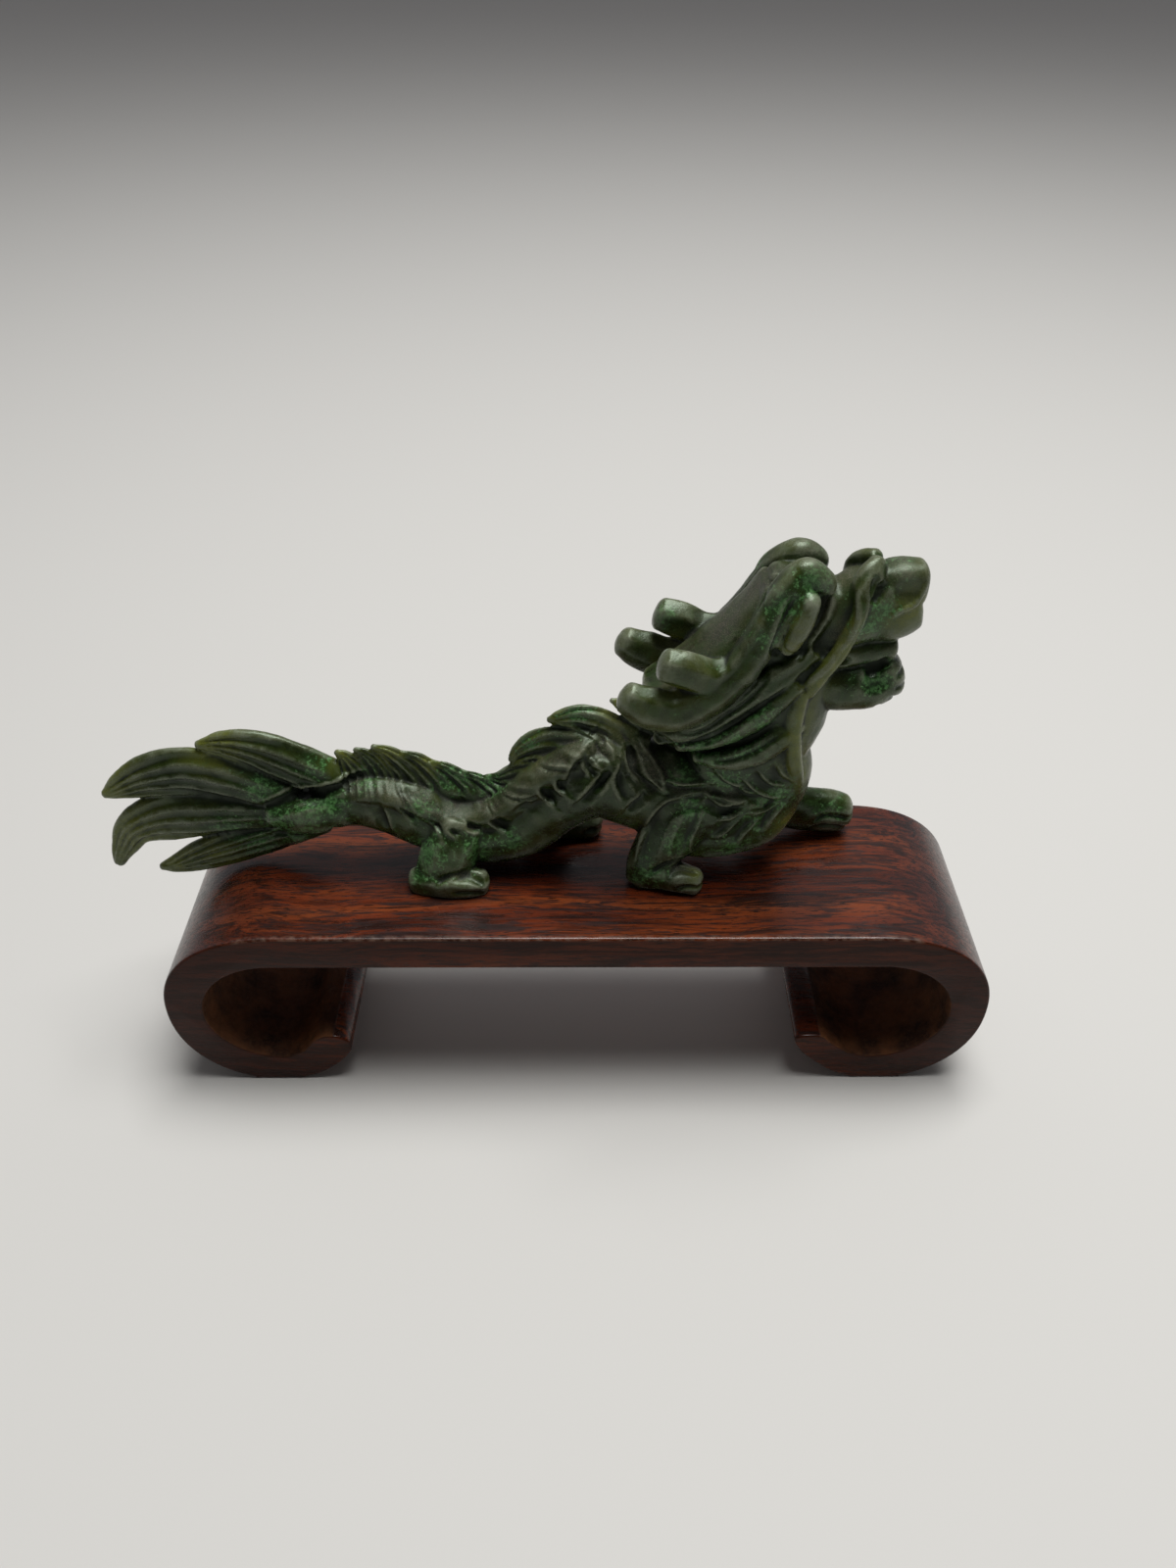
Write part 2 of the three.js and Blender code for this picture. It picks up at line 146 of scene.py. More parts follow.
# Sizes in millimetres, from the middle of the foot. The outer curve starts down at CROWN, and
# comes back under at HEEL, where the hollow starts too.
BOARD_THICKNESS = 8
WALL = 7.5
FOOT_WALL = 6.9
CROWN = 57
HEEL = 60
FLAT_FOOT = (58, 68)
FOOT_DROP = 0.8
CROWN_POWER = 2.25
HEEL_POWER = 2.15
EDGE_ROUND = 0.55
HOLLOW_FROM = 47
CHATTER = 0.10
CHATTER_CLEAR = 0.3
NOSE = [(53.4, 2), (49.5, 5.1)]
SQUARE_LIP = NOSE + [(46.2, 8.6), (44.9, 12.6), (49.8, 13.2), (52.8, 10.6), (56.2, 8)]
ROUND_LIP = NOSE + [(47, 8.4), (46.8, 11.2), (48.6, 13), (51.6, 13.4), (54, 12), (56.6, 8.8)]
POINTS = {"quarter": 40, "foot": 12, "tongue": 60, "hollow": 90,
          "board": 60, "depth": 50, "edge": 6}


def spline(points, share):
    """The Catmull-Rom curve through the points, read at shares 0 to 1 of its length in points.

    Each stretch is the cubic that meets its two points with half the step between their
    neighbours as its slope, so the curve is smooth through every point.
    """
    points = np.asarray(points, float)
    ends = np.vstack([2 * points[0] - points[1], points, 2 * points[-1] - points[-2]])
    place = np.asarray(share) * (len(points) - 1)
    first = np.clip(place.astype(int), 0, len(points) - 2)
    t = (place - first)[:, None]
    a, b, c, d = (ends[first + k] for k in range(4))
    return 0.5 * (2 * b + (c - a) * t + (2 * a - 5 * b + 4 * c - d) * t**2
                  + (3 * b - a - 3 * c + d) * t**3)


def scroll_outline(lip, length, height):
    """One end of the stand in side view, from the top of the board round to its underside.

    The outer curve is two quarters of a squarish oval, |x|^p + |z|^p = 1. The lip is a smooth
    curve through its points, and the hollow is half an oval.
    """
    quarter = np.linspace(0, np.pi / 2, POINTS["quarter"])
    middle, end, hollow_top = height / 2, length / 2, height - BOARD_THICKNESS
    crown = np.stack([CROWN + (end - CROWN) * np.sin(quarter) ** (2 / CROWN_POWER),
                      middle + middle * np.cos(quarter).clip(0) ** (2 / CROWN_POWER)], 1)
    heel = np.stack([HEEL + (end - HEEL) * np.cos(quarter).clip(0) ** (2 / HEEL_POWER),
                     middle - (middle + FOOT_DROP) * np.sin(quarter) ** (2 / HEEL_POWER)], 1)[1:]
    heel = heel[heel[:, 1] > 0.02]
    foot = np.linspace((FLAT_FOOT[1], 0), (FLAT_FOOT[0], 0), POINTS["foot"])
    tongue = spline([(FLAT_FOOT[0], 0)] + lip, np.linspace(0, 1, POINTS["tongue"]))[1:]
    half = np.linspace(0, np.pi, POINTS["hollow"])
    hollow = np.stack([HEEL + (end - WALL - HEEL) * np.sin(half),
                       hollow_top - (hollow_top - FOOT_WALL) * (1 + np.cos(half)) / 2], 1)
    return np.vstack([crown, heel, foot, tongue, hollow])


def band_faces(rows, around, start=0):
    """The quads between neighbouring rows of a closed band whose points are numbered from start,
    and one flat face over its first row and one over its last."""
    row, col = np.meshgrid(np.arange(rows - 1), np.arange(around), indexing="ij")
    nxt = (col + 1) % around
    quads = np.stack([row * around + col, row * around + nxt,
                      (row + 1) * around + nxt, (row + 1) * around + col], 2)
    last = start + (rows - 1) * around
    return ((quads.reshape(-1, 4) + start).tolist()
            + [list(range(start, start + around))[::-1], list(range(last, last + around))])


def stand_mesh(low, high):
    """The outline carried across the stand's depth, drawn in at both faces by a rounded edge.

    In from each face the outline moves inwards by r - r sin(a) while the depth moves by
    r - r cos(a). The walls of the hollows get shallow chatter marks: the size of a product of
    two waves plus a finer one, cut inwards.
    """
    length, depth, height = (np.array(high - low) / MM).tolist()
    hollow_top = height - BOARD_THICKNESS
    right = scroll_outline(SQUARE_LIP, length, height)
    left = scroll_outline(ROUND_LIP, length, height)[::-1] * (-1, 1)
    board = np.linspace(-CROWN, CROWN, POINTS["board"])[1:-1, None] * (1, 0)
    under = np.linspace(HEEL, -HEEL, POINTS["board"])[1:-1, None] * (1, 0)
    outline = np.vstack([right, under + (0, hollow_top), left, board + (0, height)])
    ahead, behind = np.roll(outline, -1, 0), np.roll(outline, 1, 0)
    step = ahead - behind
    out = np.stack([step[:, 1], -step[:, 0]], 1) / np.linalg.norm(step, axis=1)[:, None].clip(1e-9)
    area = np.sum(outline[:, 0] * ahead[:, 1] - outline[:, 1] * ahead[:, 0]) / 2
    out *= np.sign(area)
    bend = np.linspace(0, np.pi / 2, POINTS["edge"])
    edge_in, edge_at = EDGE_ROUND * (1 - np.sin(bend)), EDGE_ROUND * (1 - np.cos(bend))
    face = np.linspace(EDGE_ROUND, depth - EDGE_ROUND, POINTS["depth"])[1:-1]
    across = np.concatenate([edge_at, face, depth - edge_at[::-1]])
    drawn_in = np.concatenate([edge_in, 0 * face, edge_in[::-1]])
    x, z = (outline[None, :, k] - out[None, :, k] * drawn_in[:, None] for k in (0, 1))
    y = np.repeat(across[:, None] - depth / 2, len(outline), 1)
    inside = ((np.abs(x) > HOLLOW_FROM) & (np.abs(x) < length / 2 - WALL + 0.4)
              & (z > FOOT_WALL + CHATTER_CLEAR) & (z < hollow_top - CHATTER_CLEAR))
    fade = np.clip(1 - drawn_in * 4, 0, 1)[:, None] * inside
    waves = np.sin(y * 2.3 + 1.7 * np.sin(z * 0.9)) * np.sin(x * 1.1 + z * 1.4)
    cut = np.abs(CHATTER * waves + CHATTER / 2 * np.sin(y * 6.1 + x * 3.1)) * fade
    place = np.stack([x - out[None, :, 0] * cut, y, z - out[None, :, 1] * cut], 2).reshape(-1, 3)
    faces = band_faces(len(across), len(outline))
    if area > 0:
        faces = [face[::-1] for face in faces]
    mesh = bpy.data.meshes.new("rosewood_scroll_stand")
    mesh.from_pydata((place * MM + np.array(stand_foot)).tolist(), [], faces)
    return mesh


class Finish:
    """A surface finish while it is put together: each step adds a node and gives its output."""

    def __init__(self, name):
        self.material = bpy.data.materials.new(name)
        self.material.use_nodes = True
        self.tree = self.material.node_tree
        self.shader = self.tree.nodes["Principled BSDF"]
        self.where = self.add("ShaderNodeTexCoord", "Object")

    def fill(self, socket, value):
        """Links an output to the socket, or sets a number or a colour on it."""
        if isinstance(value, bpy.types.NodeSocket):
            self.tree.links.new(value, socket)
        else:
            socket.default_value = (*value, 1) if socket.type == "RGBA" else value

    def add(self, kind, read, sockets=(), **settings):
        """A node with its settings, and its sockets filled in by their names or numbers."""
        node = self.tree.nodes.new(kind)
        for name, value in settings.items():
            setattr(node, name, value)
        for name, value in dict(sockets).items():
            self.fill(node.inputs[name], value)
        return node.outputs[read]

    def ramp(self, factor, stops):
        """A colour ramp through (place, colour) stops; a plain number stands for a grey."""
        node = self.tree.nodes.new("ShaderNodeValToRGB")
        self.fill(node.inputs[0], factor)
        elements = node.color_ramp.elements
        while len(elements) < len(stops):
            elements.new(0.5)
        for element, (place, colour) in zip(elements, stops):
            element.position = place
            element.color = (*colour, 1) if isinstance(colour, tuple) else (colour,) * 3 + (1,)
        return node.outputs[0]

    def mix(self, factor, a, b, kind="MIX"):
        """The colours a and b mixed by the factor."""
        return self.add("ShaderNodeMix", 2, {0: factor, 6: a, 7: b},
                        data_type="RGBA", blend_type=kind)

    def coated(self, colour, coats):
        """The colour with each (share, colour) of the coats laid over it in turn."""
        for share, coat in coats:
            colour = self.mix(share, colour, coat)
        return colour

    def reckon(self, kind, a, b):
        """One arithmetic node on two values."""
        return self.add("ShaderNodeMath", 0, {0: a, 1: b}, operation=kind)

    def times(self, a, b):
        return self.reckon("MULTIPLY", a, b)

    def plus(self, a, b):
        return self.reckon("ADD", a, b)

    def noise(self, scale, detail, roughness=0.5, distortion=0.0, where=None):
        """Cloudy noise at a scale in waves to the metre."""
        return self.add("ShaderNodeTexNoise", "Fac", {
            "Vector": self.where if where is None else where, "Scale": scale, "Detail": detail,
            "Roughness": roughness, "Distortion": distortion})

    def kept(self, name):
        """The number that record() keeps for every point under that name."""
        return self.add("ShaderNodeAttribute", "Fac", attribute_name=name)

    def done(self, colour, rough, height, strength, depth):
        """Gives the shader its colour, its roughness and a bump of that depth in metres."""
        bump = self.add("ShaderNodeBump", 0,
                        {"Height": height, "Strength": strength, "Distance": depth})
        for name, value in (("Base Color", colour), ("Roughness", rough), ("Normal", bump)):
            self.fill(self.shader.inputs[name], value)
        return self.material


RED_BANDS = [(0.34, (0.062, 0.010, 0.003)), (0.5, (0.140, 0.024, 0.006)),
             (0.66, (0.21, 0.046, 0.011))]
BROWN_CLOUD = (0.040, 0.011, 0.006)
DULL_END = (0.040, 0.013, 0.010)
BLACK_STREAK = (0.011, 0.0045, 0.0035)
DARK_DASH = (0.014, 0.005, 0.004)
PORE = (0.006, 0.003, 0.002)
SAWN_FACE = (0.036, 0.012, 0.006)
EARTH = [(0.38, (0.030, 0.013, 0.007)), (0.62, (0.150, 0.058, 0.022))]
LOOSE_FIBRE = (0.105, 0.055, 0.026)
# The pale of the worn top edges, which is also a painted highlight.
RUBBED_AND_HIGHLIT = (0.20, 0.13, 0.095)
GRAIN_SWAY = 0.012
WOOD_BUMP = 0.0002


def rosewood():
    """Waxed rosewood: long red and brown bands with fine black streaks and short pores along X."""
    wood = Finish("waxed_rosewood")

    def grain(place, along, across, detail, roughness, distortion=0.0):
        """Noise stretched along X, in waves to the metre along the grain and across it."""
        stretched = wood.add("ShaderNodeMapping", 0,
                             {"Vector": place, "Scale": (along, across, across)})
        return wood.noise(1.0, detail, roughness, distortion, stretched)

    wander = grain(wood.where, 16, 40, 2, 0.5)
    sway = wood.add("ShaderNodeCombineXYZ", 0, {"X": 0.0, "Y": wander, "Z": wander})
    bent = wood.add("ShaderNodeVectorMath", 0,
                    {0: sway, 1: (0, GRAIN_SWAY, GRAIN_SWAY), 2: wood.where},
                    operation="MULTIPLY_ADD")
    broad = grain(bent, 10, 110, 3, 0.55, 0.4)
    streak = grain(bent, 34, 420, 5, 0.62, 1.0)
    dashes = grain(bent, 120, 1300, 4, 0.65, 0.5)
    pores = grain(bent, 330, 3600, 2, 0.5)
    grit = wood.noise(1600, 5, 0.7)
    sawn, rough = wood.kept("sawn"), wood.kept("rough")
    edge_patches = wood.ramp(wood.noise(700, 4, 0.6), [(0.42, 0.0), (0.6, 0.85)])
    colour = wood.coated(wood.ramp(broad, RED_BANDS), [
        (wood.ramp(wood.noise(38, 3), [(0.4, 0.0), (0.62, 0.45)]), BROWN_CLOUD),
        (wood.times(wood.kept("ends"), 0.65), DULL_END),
        (wood.ramp(streak, [(0.38, 0.9), (0.46, 0.45), (0.53, 0.0)]), BLACK_STREAK),
        (wood.ramp(dashes, [(0.40, 0.85), (0.50, 0.0)]), DARK_DASH),
        (wood.ramp(pores, [(0.33, 1.0), (0.40, 0.0)]), PORE),
        (wood.times(sawn, 0.45), SAWN_FACE),
        (wood.times(rough, 0.85), wood.ramp(wood.noise(130, 4, 0.6), EARTH)),
        (wood.times(rough, wood.ramp(grit, [(0.5, 0.0), (0.68, 0.55)])), LOOSE_FIBRE),
        # The long top edges are laid pale: partly wear, partly a painted highlight.
        (wood.times(wood.kept("worn_and_highlit"), edge_patches), RUBBED_AND_HIGHLIT),
    ])
    matt = wood.plus(wood.ramp(dashes, [(0.35, 0.34), (0.6, 0.22)]), wood.times(rough, 0.4))
    unwaxed = wood.times(wood.reckon("MAXIMUM", sawn, rough), 0.36)
    wood.fill(wood.shader.inputs["Specular IOR Level"], wood.reckon("SUBTRACT", 0.48, unwaxed))
    height = wood.plus(wood.times(dashes, 0.7), wood.times(wood.times(grit, rough), 4.0))
    return wood.done(colour, matt, height, 0.3, WOOD_BUMP)


stand_piece = placed("rosewood_scroll_stand", stand_mesh(stand_low, stand_high))
stand_piece.data.materials.append(rosewood())


def points_of(mesh):
    """The mesh's points as rows of x, y, z."""
    place = np.empty(3 * len(mesh.vertices), np.float32)
    mesh.vertices.foreach_get("co", place)
    return place.reshape(-1, 3).astype(float)


def record(mesh, name, values):
    """Keeps one number for every point, for the material to read by its name."""
    values = values.astype(np.float32)
    mesh.attributes.new(name, "FLOAT", "POINT").data.foreach_set("value", values)


def rise(values, start, span):
    """0 up to start, 1 from start + span on, and straight in between."""
    return ((values - start) / span).clip(0, 1)


# Four numbers for every point: sawn (the front and back faces), rough (inside the scrolls), the
# pale long edges of the top, which are worn and carry a painted highlight, and ends (where the
# board runs out into the scrolls).
FACE_SKIN = 0.3
HOLLOW_MIDDLE = 20
HOLLOW_SQUASH = 0.94
HOLLOW_REACH = 16.6
HOLLOW_SIDE = 50
# How far below the top the pale edge reaches, and how strong it is: wear and a painted highlight.
WEAR_AND_HIGHLIGHT_BELOW_TOP = 1.2
WEAR_AND_HIGHLIGHT = 0.45
SHARP_ANGLE = 35

wood = (points_of(stand_piece.data) - np.array(stand_foot)) / MM
from_middle = np.abs(wood[:, 0])
from_face = (stand_high.y - stand_low.y) / 2 / MM - np.abs(wood[:, 1])
from_top = (stand_high.z - stand_low.z) / MM - wood[:, 2]
in_scroll = ((from_middle > HOLLOW_SIDE)
             & (np.hypot(from_middle - HEEL, (wood[:, 2] - HOLLOW_MIDDLE) * HOLLOW_SQUASH)
                < HOLLOW_REACH))
arris = (from_face < EDGE_ROUND) & (from_face > 0.02)
record(stand_piece.data, "sawn", from_face < FACE_SKIN)
record(stand_piece.data, "rough", in_scroll & (from_face > 0.2))
record(stand_piece.data, "worn_and_highlit", (arris & (from_top < WEAR_AND_HIGHLIGHT_BELOW_TOP)) * WEAR_AND_HIGHLIGHT)
record(stand_piece.data, "ends", rise(from_middle, 56, 16))
stand_piece.data.shade_smooth()
stand_piece.data.set_sharp_from_angle(angle=np.radians(SHARP_ANGLE))
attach(stand_piece, "root")
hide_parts("rosewood_stand")

# ---------------------------------------------------------------- the jade dragon
# One piece of nephrite, which stands on the board by its own weight. The carver roughs out its
# body, head, legs, fins and tail as plain rounded forms, cuts scales, hair and flutes into them
# with a small wheel, and polishes it all.

# The dragon's own frame is in millimetres: X from the middle of the stand, Y from the dragon's
# middle plane, Z from the top of the stand. A station of a form is [x, y, z, half width, half
# height], and may end with a turn in degrees.

DRAGON_MIDDLE = 3

SPINE = [
    [-56, 0, 12, 3.2, 3.8], [-49, 0, 14.4, 4.4, 4.8], [-42, 0, 16.2, 5.6, 5.8],
    [-35, 0, 14.6, 6.2, 6.4], [-27, 0, 10.4, 6.6, 6.6], [-19, 0, 8, 6.9, 6.6],
    [-11, 0, 10.2, 7.1, 7], [-3.5, 0, 17.2, 7.3, 7.4], [4, 0, 21.4, 7.6, 8.6], [13, 0, 20, 8, 10],
    [22, 0, 16.8, 8.2, 11.4], [30, 0, 15, 8, 11.6], [36, 0, 15.4, 7, 9.4],
]


def limb(stations, sides=40, rings=60, ends=(0.6, 0.6), power=2.0, relief=None):
    """A rounded limb: oval sections carried along the smooth curve through its stations.

    A section is |c|^p + |s|^p = 1 scaled by the half sizes, its width along Y made square to the
    curve and its height square to both. The ends bulge past the last stations by half sizes,
    on a quarter circle. relief(angle, along) scales the section for ridges and grooves.
    """
    caps = 8
    rows = np.array([(list(s) + [0])[:6] for s in stations], float)
    row = np.arange(rings + 2 * caps + 1)
    share = np.clip((row - caps) / rings, 0, 1)
    centre = spline(rows, share)
    small = 1e-4
    ahead = (spline(rows[:, :3], np.minimum(share + small, 1))
             - spline(rows[:, :3], np.maximum(share - small, 0)))
    along = ahead / np.linalg.norm(ahead, axis=1)[:, None]
    width = np.array([0, 1.0, 0]) - along * along[:, 1:2]
    width /= np.linalg.norm(width, axis=1)[:, None]
    turned = np.radians(centre[:, 5:6])
    width = width * np.cos(turned) + np.cross(along, width) * np.sin(turned)
    height = np.cross(along, width)
    cap = np.minimum(np.minimum(row, row[::-1]), caps) * (np.pi / 2 / caps)
    size = (centre[:, 3] + centre[:, 4]) / 2
    bulge = np.where(row < len(row) / 2, -ends[0], ends[1]) * np.cos(cap) * size
    middle = centre[:, :3] + along * bulge[:, None]
    angle = np.arange(sides) * 2 * np.pi / sides
    c, s = np.cos(angle), np.sin(angle)
    oval = (np.abs(c) ** power + np.abs(s) ** power) ** (-1 / power)
    radius = np.sin(cap).clip(1e-3)[:, None] * oval[None]
    if relief is not None:
        radius = radius * relief(angle[None], share[:, None])
    return (middle[:, None] + height[:, None] * (radius * c * centre[:, 4:5])[..., None]
            + width[:, None] * (radius * s * centre[:, 3:4])[..., None])


def facets(count, share=0.7):
    """Relief that takes an oval section part of the way to a polygon. A polygon's edge lies at
    cos(pi / count) / cos(angle from the middle of its flat), here over its mean, so that the
    limb keeps its girth."""
    def relief(angle, along):
        off_middle = np.mod(angle, 2 * np.pi / count) - np.pi / count
        flat = np.cos(np.pi / count) / np.cos(off_middle)
        return (1 + share * (flat / flat.mean() - 1)) * np.ones_like(along)
    return relief


def mirrored(stations):
    """The same stations on the dragon's left side."""
    return [[s[0], -s[1], *s[2:5], -(list(s) + [0])[5]] for s in stations]


def both_sides(stations, **options):
    """A limb and its mirror image."""
    return [limb(stations, **options), limb(mirrored(stations), **options)]


def head_forms():
    """Neck, muzzle, jaw, nostrils, eyes and brows."""
    neck = [
        [31, 0, 12, 7.6, 10], [33, 0, 22, 7.8, 12.2], [32.8, 0, 30.5, 7.6, 11.6],
        [35.4, 0, 39, 7.2, 11.6], [38, 0, 48, 6.8, 9.4], [38.4, 0, 57, 6.2, 7.8],
        [39, 0, 64, 4.8, 5.6],
    ]
    upper = [
        [41, 0, 57, 6, 7.4], [46.4, 0, 58, 5.8, 6.4], [51.4, 0, 59.6, 4.9, 7.2],
        [55, 0, 59.6, 4.4, 7], [58.4, 0, 60.8, 3.4, 6.4],
    ]
    lower = [
        [42, 0, 44.6, 5.6, 5.6], [48, 0, 43.4, 5.3, 5.4], [53.4, 0, 43.8, 4.9, 5.4],
        [57, 0, 45.4, 4, 4.8],
    ]
    corner = [[44, 0, 50, 5, 4], [50, 0, 50.8, 4, 3.6], [56.4, 0, 51.2, 3.2, 2.8]]
    flange = [[52.6, 0, 62.6, 3.4, 4], [56, 0, 63.4, 3.6, 4.3], [59, 0, 63.4, 3, 4.2]]
    nostril = [
        [48.8, -4.4, 61.5, 1.2, 1.8], [49.4, -3.8, 64.6, 1.4, 2.6], [50.4, -2.4, 66.6, 1.6, 2.4],
        [51.4, -0.9, 67.9, 1.5, 1.5],
    ]
    eye = [[36.6, -6, 54.6, 1.9, 1.5], [38, -6.6, 59.2, 2.6, 2.2], [39.4, -6.4, 63.2, 2.2, 1.9]]
    brow = [[32.6, -6, 57.8, 1.6, 1.5], [35, -5.4, 63.6, 2.2, 2.2], [38.4, -3.7, 67.2, 2.6, 2.6],
            [41.6, -4, 66.2, 2.2, 2.2], [43.2, -4.4, 64.4, 1.3, 1.5]]
    return [limb(neck, ends=(0.3, 0.6), power=2.4), limb(upper, ends=(0.3, 0.35), power=2.5),
            limb(lower, ends=(0.3, 0.6), power=2.2), limb(corner, ends=(0.3, 0.4)),
            *both_sides(nostril), limb(flange, power=3.2), *both_sides(eye, ends=(0.9, 0.9)),
            *both_sides(brow)]


def horn_forms():
    """Each horn sweeps back from the brow and forks in two; a hollow saddle joins the pair.

    The saddle's section is drawn in at its top by 0.34 exp(-((angle - 90) / 38)^2).
    """
    band = [
        [9.2, -9.4, 46, 2.6, 3], [12.6, -9.4, 44.1, 2.9, 4], [17.4, -9, 42.9, 3, 4],
        [22.6, -8.3, 44.9, 3, 3.9], [27.4, -7.4, 48.9, 3, 3.5], [30.9, -6.6, 53.8, 2.9, 3.2],
        [33.6, -6, 58.6, 2.8, 3.1], [36.6, -5, 63.6, 2.6, 3], [39, -4, 66.6, 2.2, 2.2],
    ]
    prong = [[15.8, -8.7, 52.2, 2.8, 3.2], [19, -8.5, 51.2, 2.9, 3.6], [23, -8.1, 49.6, 2.8, 3.4],
             [27, -7.4, 50, 2.2, 2.8]]
    saddle = [
        [14, 0, 42.6, 5, 2], [19.6, 0, 45, 7, 3.2], [25, 0, 48.2, 8, 4.6], [30.4, 0, 54, 7.4, 4.6],
        [35.4, 0, 62, 5.4, 3.8],
    ]

    def hollow(angle, along):
        return 1 - 0.34 * np.exp(-((angle - np.pi / 2) / np.radians(38)) ** 2) * np.ones_like(along)

    return [*both_sides(band, ends=(0.55, 0.5), relief=facets(7)),
            *both_sides(prong, ends=(0.5, 0.5), relief=facets(6)),
            limb(saddle, ends=(0.5, 0.4), power=3.4, relief=hollow)]


def mane_forms():
    """Locks sweep back from the cheek under the horn, over a core that fills the nape."""
    core = [
        [15, 0, 34.6, 4, 2], [21, 0, 36.4, 6, 4.4], [29, 0, 40.4, 6.8, 6.4], [38, 0, 47, 6.6, 6.4],
    ]
    locks = [
        [[15.2, -5.4, 34.4, 1.3, 1.5], [20.4, -6.4, 36.8, 2, 2.3], [27.4, -7, 41.8, 2.2, 2.6],
         [34.4, -7, 47.6, 2, 2.5], [41.6, -6.2, 53, 1.3, 1.6]],
        [[19, -5.6, 33, 1.3, 1.4], [25.6, -6.9, 36, 2.1, 2.4], [32.4, -7.2, 40.8, 2.2, 2.7],
         [39, -6.6, 46.6, 1.4, 1.8]],
        [[22.4, -6, 30.6, 1.4, 1.4], [28.4, -7.2, 31, 2.2, 2.4], [34.6, -7.2, 33.4, 2.1, 2.8],
         [40.2, -6.4, 38, 1.3, 1.8]],
    ]
    return [limb(core)] + [side for lock in locks for side in both_sides(lock)]


def whisker_forms():
    """A flat whisker from beside each nostril down the cheek and throat to the chest."""
    upper = [[50.8, -3.2, 66.8, 0.8, 1], [48.9, -4.8, 64.8, 1, 1.3], [48.4, -5.7, 60.4, 1.1, 1.5],
             [46.4, -6.3, 54.4, 1.1, 1.5], [43.4, -6.7, 49.2, 1.1, 1.5], [41.2, -6.6, 45, 0.9, 1.3]]
    lower = [[40.4, -6.6, 45.2, 1, 1.3], [39.4, -6.9, 38, 1.2, 1.6], [40.2, -6.7, 31, 1.2, 1.6],
             [41.4, -5.8, 25, 1.1, 1.5], [41.6, -4.8, 20, 0.8, 1.1]]
    return [side for band in (upper, lower) for side in both_sides(band, sides=24)]


FINS = [
    [[-45.8, 0, 27.2, 0.6, 0.6], [-44.4, 0, 25.8, 1, 1.8], [-42.6, 0, 22.8, 1.4, 2.4],
     [-41.4, 0, 19, 1.8, 2.4]],
    [[-42.2, 0, 27.8, 0.6, 0.6], [-40.4, 0, 26.2, 1, 1.8], [-38.4, 0, 22.8, 1.4, 2.4],
     [-37, 0, 18.6, 1.8, 2.4]],
    [[-38.8, 0, 28.4, 0.6, 0.6], [-36, 0, 26.8, 1.1, 1.9], [-32.8, 0, 23.6, 1.5, 2.6],
     [-30, 0, 19.4, 1.8, 2.8], [-28.6, 0, 16, 2, 2.4]],
    [[-33.2, 0, 26.9, 0.6, 0.6], [-30.4, 0, 25.2, 1.1, 1.8], [-27.4, 0, 21.8, 1.5, 2.4],
     [-25, 0, 17.8, 1.8, 2.6]],
    [[-27.8, 0, 24.8, 0.6, 0.6], [-25, 0, 23, 1.1, 1.6], [-22, 0, 20, 1.5, 2.2],
     [-19.6, 0, 16.8, 1.8, 2.4]],
    [[-22, 0, 22.2, 0.6, 0.6], [-19.4, 0, 20.8, 1, 1.4], [-16.6, 0, 18.8, 1.4, 2],
     [-14, 0, 17.4, 1.8, 2.2]],
    [[-17.4, 0, 21.2, 0.6, 0.6], [-15, 0, 20.8, 1.1, 1.6], [-12, 0, 21.8, 1.6, 2.4],
     [-7, 0, 24, 2, 2.8]],
    [[-12.6, 0, 25.2, 0.6, 0.7], [-10.4, 0, 27.4, 1.1, 2.2], [-7, 0, 29.3, 1.6, 3.2],
     [-2.5, 0, 30.2, 1.9, 3.2], [3, 0, 29.6, 2.2, 3]],
    [[-5.1, 0, 34.6, 0.6, 0.7], [-2.6, 0, 34.9, 1.2, 2.1], [0.8, 0, 35.1, 1.6, 3],
     [5, 0, 33.8, 1.9, 3.2], [10, 0, 30.5, 2.2, 3.2]],
    [[6.6, 0, 39, 0.6, 0.5], [9, 0, 37.8, 1.2, 1.7], [13, 0, 35.2, 1.6, 2.4],
     [20, 0, 30.5, 2.2, 2.8]],
]
WEB = [
    [-45, 0, 21.5, 1.6, 4.6], [-40, 0, 22, 1.7, 5], [-35, 0, 21.6, 1.8, 5.4],
    [-30, 0, 20, 1.9, 5.2], [-25, 0, 18, 2, 4.6], [-20, 0, 17, 2, 3.8], [-15.5, 0, 18, 2.2, 3],
    [-11, 0, 21, 2.4, 3.6], [-7, 0, 25, 2.4, 4.6], [-2.5, 0, 29, 2.6, 4], [2, 0, 31.2, 2.8, 3.6],
    [7, 0, 30.4, 3, 3.6], [13, 0, 28.5, 4, 3.2],
]
BACK = [
    [-48, 0, 17.6, 4.4, 3], [-42, 0, 19, 5.2, 3.4], [-36, 0, 18.8, 5.8, 3.6],
    [-30.7, 0, 16.8, 6, 3.8], [-27.4, 0, 14.4, 6, 3.8], [-24, 0, 12.8, 6, 3.8],
    [-20, 0, 12.8, 6, 3.8], [-16, 0, 14.2, 6, 3.8], [-12, 0, 17.2, 6.2, 3.9],
    [-7.4, 0, 21.8, 6.4, 4], [-3, 0, 25.6, 6.4, 4], [1.2, 0, 28, 6.4, 4], [5, 0, 28, 6.6, 4],
    [10, 0, 25.6, 7, 4.2], [16, 0, 22.6, 7.4, 4.4],
]


def fin_forms():
    """Leaf-shaped fins with their tips towards the tail, on a thin web along the rounded back."""
    return [*(limb(fin, power=1.7) for fin in FINS),
            limb(WEB, rings=100, ends=(0.3, 0.3), power=1.5),
            limb(BACK, rings=100, ends=(0.3, 0.3), power=2.3)]


